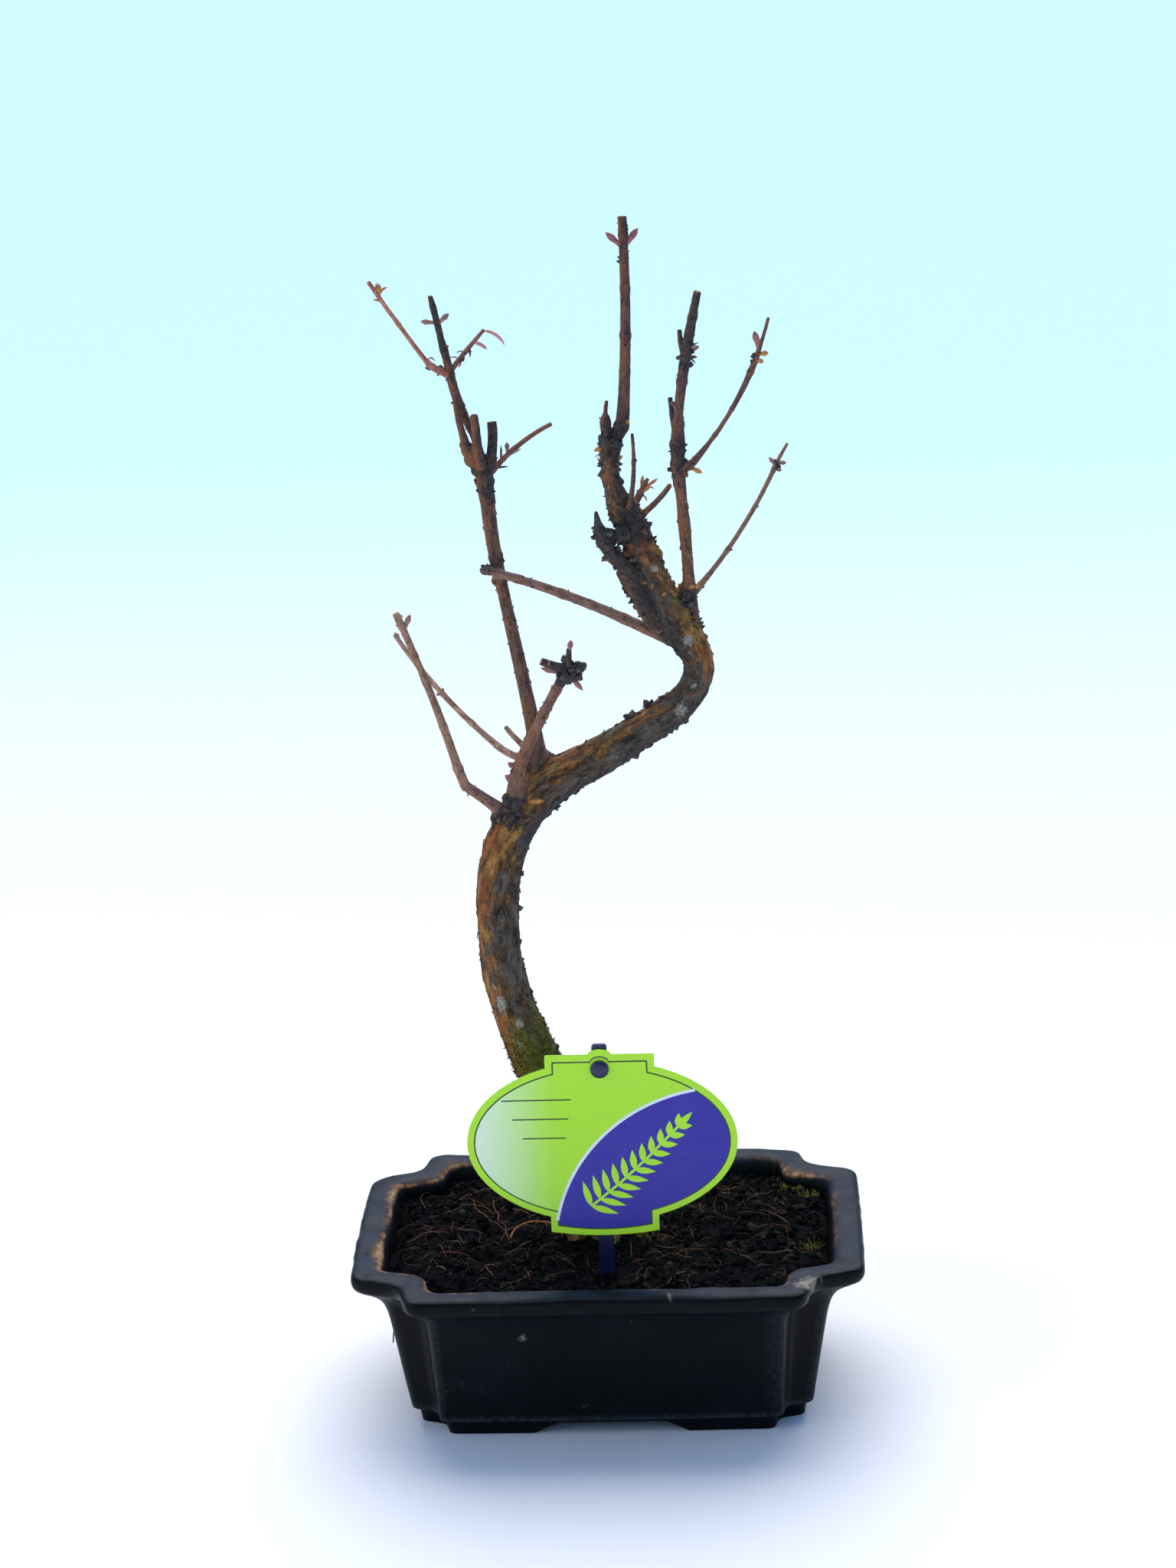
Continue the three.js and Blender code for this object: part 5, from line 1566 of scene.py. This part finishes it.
def makeRoots():
    dice = random.Random(9)
    shells, tags = [], []
    for start, heading, bend, length, thick, lift in longRoots:
        shells.append(fibreShell(start, heading, bend, length, thick, lift, 7))
        tags.append(0 if thick > 0.5 else dice.choice((1, 3)))
    ring = soil["hangingRadius"] * around(fullTurn(6), (1, 0, 0), (0, 1, 0))
    for path in hangingRoots:
        shells.append(tubeShell(np.array(path[::-1])[:, None] + ring))
        tags.append(3)
    field = soilOutline(8)
    for _ in range(soil["fibres"]):
        start = insideSoil(dice, field)
        length = dice.choice((dice.uniform(2, 7), dice.uniform(5, 15)))
        shells.append(fibreShell(start, dice.uniform(0, 360), dice.uniform(-8, 8), length,
                                 dice.uniform(0.07, 0.18), dice.uniform(0, 1.1)))
        tags.append(dice.choice((0, 1, 1, 2, 3, 3)))
    materials = [
        grainMaterial("rootOrange", "6a3719", "a86634", 700.0, 0.7),
        grainMaterial("rootBrown", "3c281b", "715038", 700.0, 0.75),
        grainMaterial("rootPale", "705439", "ad8c5e", 700.0, 0.7),
        grainMaterial("rootRust", "50290f", "84491f", 700.0, 0.7),
    ]
    settleMany("rootFibres", shells, tags, materials, "potting_soil")


makeRoots()

# moss on the soil: middle, reach, number of shoots
mossOnSoil = [
    ((60, 35), 7, 420), ((64, 27), 4, 160), ((63, -12), 4, 110), ((6, 9), 6, 200), ((10, -4), 4, 120),
]

# and on the trunk: spots tried, up to this height
mossOnTrunk = {"tries": 9000, "height": 86}
mossEdge = {"x": 66, "y": 45, "both": 100}


def mossShoot(spot, up, size, dice):
    lean = np.array((dice.uniform(-1, 1), dice.uniform(-1, 1), dice.uniform(-0.4, 1)))
    axis = up + 0.55 * lean
    axis /= np.linalg.norm(axis)
    right, back = acrossOf(axis)
    ring = around(fullTurn(3), right, back)
    wide = 0.14 * size
    return tubeShell(np.array([spot - 0.2 * axis + wide * ring, spot + 0.55 * size * axis + 0.8 * wide * ring,
                               spot + size * axis + 0.15 * wide * ring]))


def makeMoss():
    dice = random.Random(77)
    shells = []
    for middle, reach, number in mossOnSoil:
        for _ in range(number):
            x, y = dice.gauss(middle[0], reach * 0.5), dice.gauss(middle[1], reach * 0.5)
            if abs(x) < mossEdge["x"] and abs(y) < mossEdge["y"] and abs(x) + abs(y) < mossEdge["both"]:
                spot = np.array((x, y, float(soilHeight(x, y))))
                shells.append(mossShoot(spot, np.array((0, 0, 1.0)), dice.uniform(0.6, 1.5), dice))
    for _ in range(mossOnTrunk["tries"]):
        far, turn = dice.uniform(0, mossOnTrunk["height"]), math.radians(dice.uniform(0, 360))
        if patchMask(mossPatches, np.array([far]), np.array([turn]))[0] > dice.uniform(0.25, 1.1):
            up = sideAt("trunk", far, turn)
            spot = pointAt("trunk", far) + up * radiusAt("trunk", far, turn)
            shells.append(mossShoot(spot, up, dice.uniform(0.5, 1.3), dice))
    materials = [
        grainMaterial("mossOlive", "4b4a12", "86802a", 900.0, 0.9),
        grainMaterial("mossBright", "6d6c1a", "a8a13a", 900.0, 0.9),
        grainMaterial("mossBrown", "4a3a17", "77602a", 900.0, 0.9),
    ]
    tags = [dice.choice((0, 0, 1, 2)) for _ in shells]
    settleMany("moss", shells, tags, materials, "bare_twigs")
    print("moss grown")


makeMoss()


# Plant label: plate, its print and the peg

label = {
    "y": -30.8, "middle": 93.3, "thick": 0.8, "halfLong": 41.0, "halfHigh": 26.4,
    "tabHalf": 16.5, "tabTop": 28.4, "tabBottom": 29.2, "crown": 1.4, "bumpHalf": 3.4, "bumpHigh": 30.0,
    "pegWide": 4.6, "pegThick": 1.8, "pegTop": 124.4, "pegBottom": 24.0, "pegPoint": 7.0,
    "studHeight": 117.2, "studRadius": 1.6, "headRadius": 2.8, "headThick": 1.4,
    "plateEdge": 0.18, "pegEdge": 0.25,
    "border": 2.5, "line": 0.45, "inkThick": 0.05,
    "sweepMiddle": (37.0, 58.0), "sweepRadius": 52.0, "sweepLine": 0.9,
    "frond": [(-4.0, 72.5), (5.0, 80.0), (14.0, 88.5), (23.0, 98.0)],
    "frondPairs": 11, "frondAngle": 44,
    "leafSpread": 62, "leafLong": 8.6, "leafShorter": 4.2, "leafWide": 2.1,
    "rules": [(-30, -9, 107.2), (-27, -10, 101.0), (-24, -11, 94.8)], "ruleThick": 0.4,
}


def plateOutline(inset):
    # oval with a tab above and below, drawn smaller by the inset
    high, long = label["halfHigh"] - inset, label["halfLong"] - inset
    half, top, low = label["tabHalf"] - inset, label["tabTop"] - inset, label["tabBottom"] - inset
    bump, peak = label["bumpHalf"] - 0.3 * inset, label["bumpHigh"] - inset
    meet = math.acos(half / long)
    turn = np.linspace(-meet, meet, 61)
    right = np.column_stack([long * np.cos(turn), high * np.sin(turn)])
    rise = np.linspace(0, math.pi, 17)
    bow = np.column_stack([bump * np.cos(rise), top + (peak - top) * np.sin(rise)])
    edge = np.array([(half, top - 0.3), (half - 0.3, top)])
    across = np.linspace(-half, half, 17)
    drop = np.column_stack([across, -low - label["crown"] * (1 - (across / half) ** 2)])
    outline = np.vstack([right, edge, bow, edge[::-1] * (-1, 1), -right, drop])
    return outline + (0, label["middle"])


def roundedSlab(outline, inner, near, far, edge):
    # rings of an upright slab whose edges are taken off
    pairs = (inner, far), (outline, far - edge), (outline, near + edge), (inner, near)
    return np.array([np.column_stack([loop[:, 0], np.full(len(loop), y), loop[:, 1]]) for loop, y in pairs])


def insideCircle(loop, middle, radius):
    # part of a loop that lies within a circle, with the arc between its two crossings
    middle = np.asarray(middle, dtype=float)
    gap = np.linalg.norm(loop - middle, axis=1) - radius
    inside = gap < 0
    start = int(np.flatnonzero(inside & ~np.roll(inside, 1))[0])
    loop, gap, inside = np.roll(loop, -start, axis=0), np.roll(gap, -start), np.roll(inside, -start)
    count = int(np.argmin(inside))
    enter = loop[-1] + (loop[0] - loop[-1]) * gap[-1] / (gap[-1] - gap[0])
    leave = loop[count - 1] + (loop[count] - loop[count - 1]) * gap[count - 1] / (gap[count - 1] - gap[count])
    first, last = (math.atan2(*(p - middle)[::-1]) for p in (leave, enter))
    if last < first:
        last += 2 * math.pi
    if last - first > math.pi:
        last -= 2 * math.pi
    turn = np.linspace(first, last, 60)[1:-1]
    arc = middle + radius * np.column_stack([np.cos(turn), np.sin(turn)])
    return np.vstack([enter, loop[:count], leave, arc]), np.vstack([leave, arc, enter])


def leafOutline(base, angle, length, width):
    t = np.linspace(0, 1, 12)
    half = width / 2 * np.sin(np.pi * t ** 0.8)
    side = np.concatenate([half, -half[-2:0:-1]])
    far = np.concatenate([t, t[-2:0:-1]]) * length
    turn = math.radians(angle)
    x = base[0] + far * math.cos(turn) + side * math.sin(turn)
    z = base[1] + far * math.sin(turn) - side * math.cos(turn)
    return np.column_stack([x, z])[::-1]


def inkMaterial(name, dark, light, pale=None):
    material, tree, shader = newMaterial(name)
    film = dust(tree, 120.0, 0.3, 0.25)
    place = objectPlace(tree)
    ink = mixColors(tree, noiseOf(tree, place, 900.0, 2.0), tint(dark), tint(light))
    if pale:
        across = addNode(tree, "ShaderNodeSeparateXYZ", {0: place}).outputs["X"]
        ink = mixColors(tree, rampBetween(tree, across, -0.012, -0.042, 0.0, 0.75), ink, tint(pale))
    dusty = mixColors(tree, times(tree, film["Mask"], 0.07), ink, tint("b8b6a4"))
    tree.links.new(dusty, shader["Base Color"])
    tree.links.new(rampBetween(tree, film["Mask"], 0.0, 1.0, 0.34, 0.55), shader["Roughness"])
    tree.links.new(bumpFrom(tree, film["Height"], 0.05, 0.1), shader["Normal"])
    return material


def makeLabel():
    lime = inkMaterial("limePrint", "b0ee16", "bcf42c")
    glow = inkMaterial("limeGlow", "b0ee16", "bcf42c", "f8fff2")
    violet = inkMaterial("violetPrint", "1a1290", "261ca6")
    green = inkMaterial("darkGreenPrint", "1f3b16", "2c4d1f")
    white = inkMaterial("whitePrint", "e6ecec", "f4f7f7")
    front, back = label["y"], label["y"] + label["thick"]
    outline, inner = plateOutline(0.0), plateOutline(label["plateEdge"])
    points, quads, _ = tubeShell(roundedSlab(outline, inner, front, back, label["plateEdge"]))
    count = len(outline)
    caps = slabShell(inner, front, back)[2]
    tris = np.where(caps >= count, caps + 2 * count, caps)
    plate = makePiece("labelPlate", (points[:-2], quads, tris), [lime])
    sharpen(plate, 30)
    settle(plate, "label_plastic", "label_plate")

    field, edge = plateOutline(label["border"]), plateOutline(label["border"] - label["line"])
    sweep, arc = insideCircle(field, label["sweepMiddle"], label["sweepRadius"])
    outward = arc - np.array(label["sweepMiddle"])
    outward /= np.linalg.norm(outward, axis=1)[:, None]
    band = np.vstack([arc + outward * label["sweepLine"], arc[::-1]])
    prints = [(edge, 0, 3), (field, 1, 1), (sweep, 2, 2), (band, 3, 4)]
    stem = np.array(label["frond"])
    for i in range(label["frondPairs"]):
        t = i / (label["frondPairs"] - 1)
        base = np.array([np.interp(t, np.linspace(0, 1, len(stem)), stem[:, k]) for k in (0, 1)])
        long = label["leafLong"] - label["leafShorter"] * t
        for turn in (-label["leafSpread"], label["leafSpread"]):
            angle = label["frondAngle"] + turn * (1 - 0.35 * t)
            prints.append((leafOutline(base, angle, long, label["leafWide"]), 3, 0))
    prints.append((leafOutline(stem[-1], 46, 6.5, 2.0), 4, 0))
    prints.append((np.vstack([stem + (0.28, -0.28), stem[::-1] + (-0.28, 0.28)]), 5, 0))
    for left, right, low in label["rules"]:
        high = low + label["ruleThick"]
        prints.append((np.array([(left, low), (right, low), (right, high), (left, high)]), 3, 3))
    shells, tags = [], []
    for loop, layer, tag in prints:
        face = front - label["inkThick"] * (0.5 + 0.5 * layer)
        shells.append(slabShell(loop, face, front + 0.1))
        tags.append(tag)
    settleMany("labelPrint", shells, tags, [lime, glow, violet, green, white], "label_plastic", False)
    makePeg()
    print("label set up")


def pegOutline(inset):
    half = label["pegWide"] / 2 - inset
    tip, low, high = 0.3 * half, label["pegBottom"] + inset, label["pegTop"] - inset
    wide = label["pegBottom"] + label["pegPoint"]
    return np.array([(-tip, low), (tip, low), (half, wide), (half, high - 0.6), (half - 0.6, high),
                     (0.6 - half, high), (-half, high - 0.6), (-half, wide)])


def makePeg():
    material, tree, shader = newMaterial("pegPlastic")
    film = dust(tree, 90.0, 0.4, 0.3)
    base = mixColors(tree, noiseOf(tree, objectPlace(tree), 300.0), tint("111339"), tint("191b4a"))
    dusty = mixColors(tree, times(tree, film["Mask"], 0.2), base, tint("8c8c98"))
    tree.links.new(dusty, shader["Base Color"])
    tree.links.new(rampBetween(tree, film["Mask"], 0.0, 1.0, 0.3, 0.6), shader["Roughness"])
    tree.links.new(bumpFrom(tree, film["Height"], 0.08, 0.15), shader["Normal"])
    near = label["y"] + label["thick"] + clearance
    far = near + label["pegThick"]
    bar = roundedSlab(pegOutline(0.0), pegOutline(label["pegEdge"]), near, far, label["pegEdge"])
    face = -label["y"] + clearance
    profile = [(0.01, -near - 0.9), (label["studRadius"], -near - 0.9), (label["studRadius"], face),
               (label["headRadius"] - 0.15, face), (label["headRadius"], face + 0.15)]
    for turn in np.linspace(0, 84, 9):
        c, s = math.cos(math.radians(turn)), math.sin(math.radians(turn))
        profile.append((label["headRadius"] * c, face + 0.35 + (label["headThick"] - 0.35) * s))
    angle = fullTurn(48)
    across, rise = np.cos(angle), np.sin(angle)
    stud = np.array([np.column_stack([radius * across, np.full(len(angle), -depth),
                                      label["studHeight"] + radius * rise])
                     for radius, depth in profile])
    piece = makePiece("labelPeg", joinShells([tubeShell(bar), tubeShell(stud)]), [material])
    sharpen(piece, 35)
    settle(piece, "peg_plastic", "label_peg")


makeLabel()


# Plain pale floor and soft studio light

studio = {
    "floorHalf": 60.0,
    "floorNear": "f6f5f3",
    "floorFar": "c8ebf2",
    "floorFade": (0.1, 1.6),
    "sky": (0.219, 0.377, 0.7),
    "horizon": (0.9, 0.98, 1.0),
    "skyFade": (0.04, 0.12),
    "sunFrom": (0.02, 1.0, 1.75),
    "sunAim": (0, 0, 0.15),
    "sunTint": "fff7ec",
    "sunStrength": 3.1,
    "sunSpread": 62,
    "fillFrom": (-1.3, -0.7, 0.9),
    "fillAim": (0, 0, 0.2),
    "fillTint": "fff6ea",
    "fillPower": 5.2,
    "fillSize": 1.0,
}


def makeFloor():
    material, tree, shader = newMaterial("paleFloor")
    depth = addNode(tree, "ShaderNodeSeparateXYZ", {0: objectPlace(tree)}).outputs["Y"]
    shade = mixColors(tree, rampBetween(tree, depth, *studio["floorFade"]),
                      tint(studio["floorNear"]), tint(studio["floorFar"]))
    tree.links.new(shade, shader["Base Color"])
    shader["Roughness"].default_value = 0.8
    shader["Specular IOR Level"].default_value = 0.2
    half = studio["floorHalf"] / mm
    points = np.array([(-half, -half, 0), (half, -half, 0), (half, half, 0), (-half, half, 0)])
    floor = makePiece("floor", (points, np.array([(0, 1, 2, 3)]), np.empty((0, 3), dtype=int)), [material])


def addLamp(name, data, spot, aim, color):
    data.color = tint(color)[:3]
    lamp = bpy.data.objects.new(name, data)
    lamp.location = spot
    lamp.rotation_euler = (Vector(aim) - Vector(spot)).to_track_quat("-Z", "Y").to_euler()
    bpy.context.scene.collection.objects.link(lamp)


def makeStudio():
    makeFloor()
    world = bpy.data.worlds.new("softSky")
    world.use_nodes = True
    tree = world.node_tree
    look = addNode(tree, "ShaderNodeTexCoord").outputs["Generated"]
    up = addNode(tree, "ShaderNodeSeparateXYZ", {0: look}).outputs["Z"]
    sky = mixColors(tree, rampBetween(tree, up, *studio["skyFade"]),
                    (*studio["horizon"], 1), (*studio["sky"], 1))
    tree.links.new(sky, tree.nodes["Background"].inputs["Color"])
    bpy.context.scene.world = world
    sun = bpy.data.lights.new("backSun", "SUN")
    sun.energy = studio["sunStrength"]
    sun.angle = math.radians(studio["sunSpread"])
    addLamp("backSun", sun, studio["sunFrom"], studio["sunAim"], studio["sunTint"])
    fill = bpy.data.lights.new("sideFill", "AREA")
    fill.shape = "DISK"
    fill.size = studio["fillSize"]
    fill.energy = studio["fillPower"]
    addLamp("sideFill", fill, studio["fillFrom"], studio["fillAim"], studio["fillTint"])
    bpy.context.scene.view_settings.view_transform = "Standard"
    print("studio lit")


makeStudio()
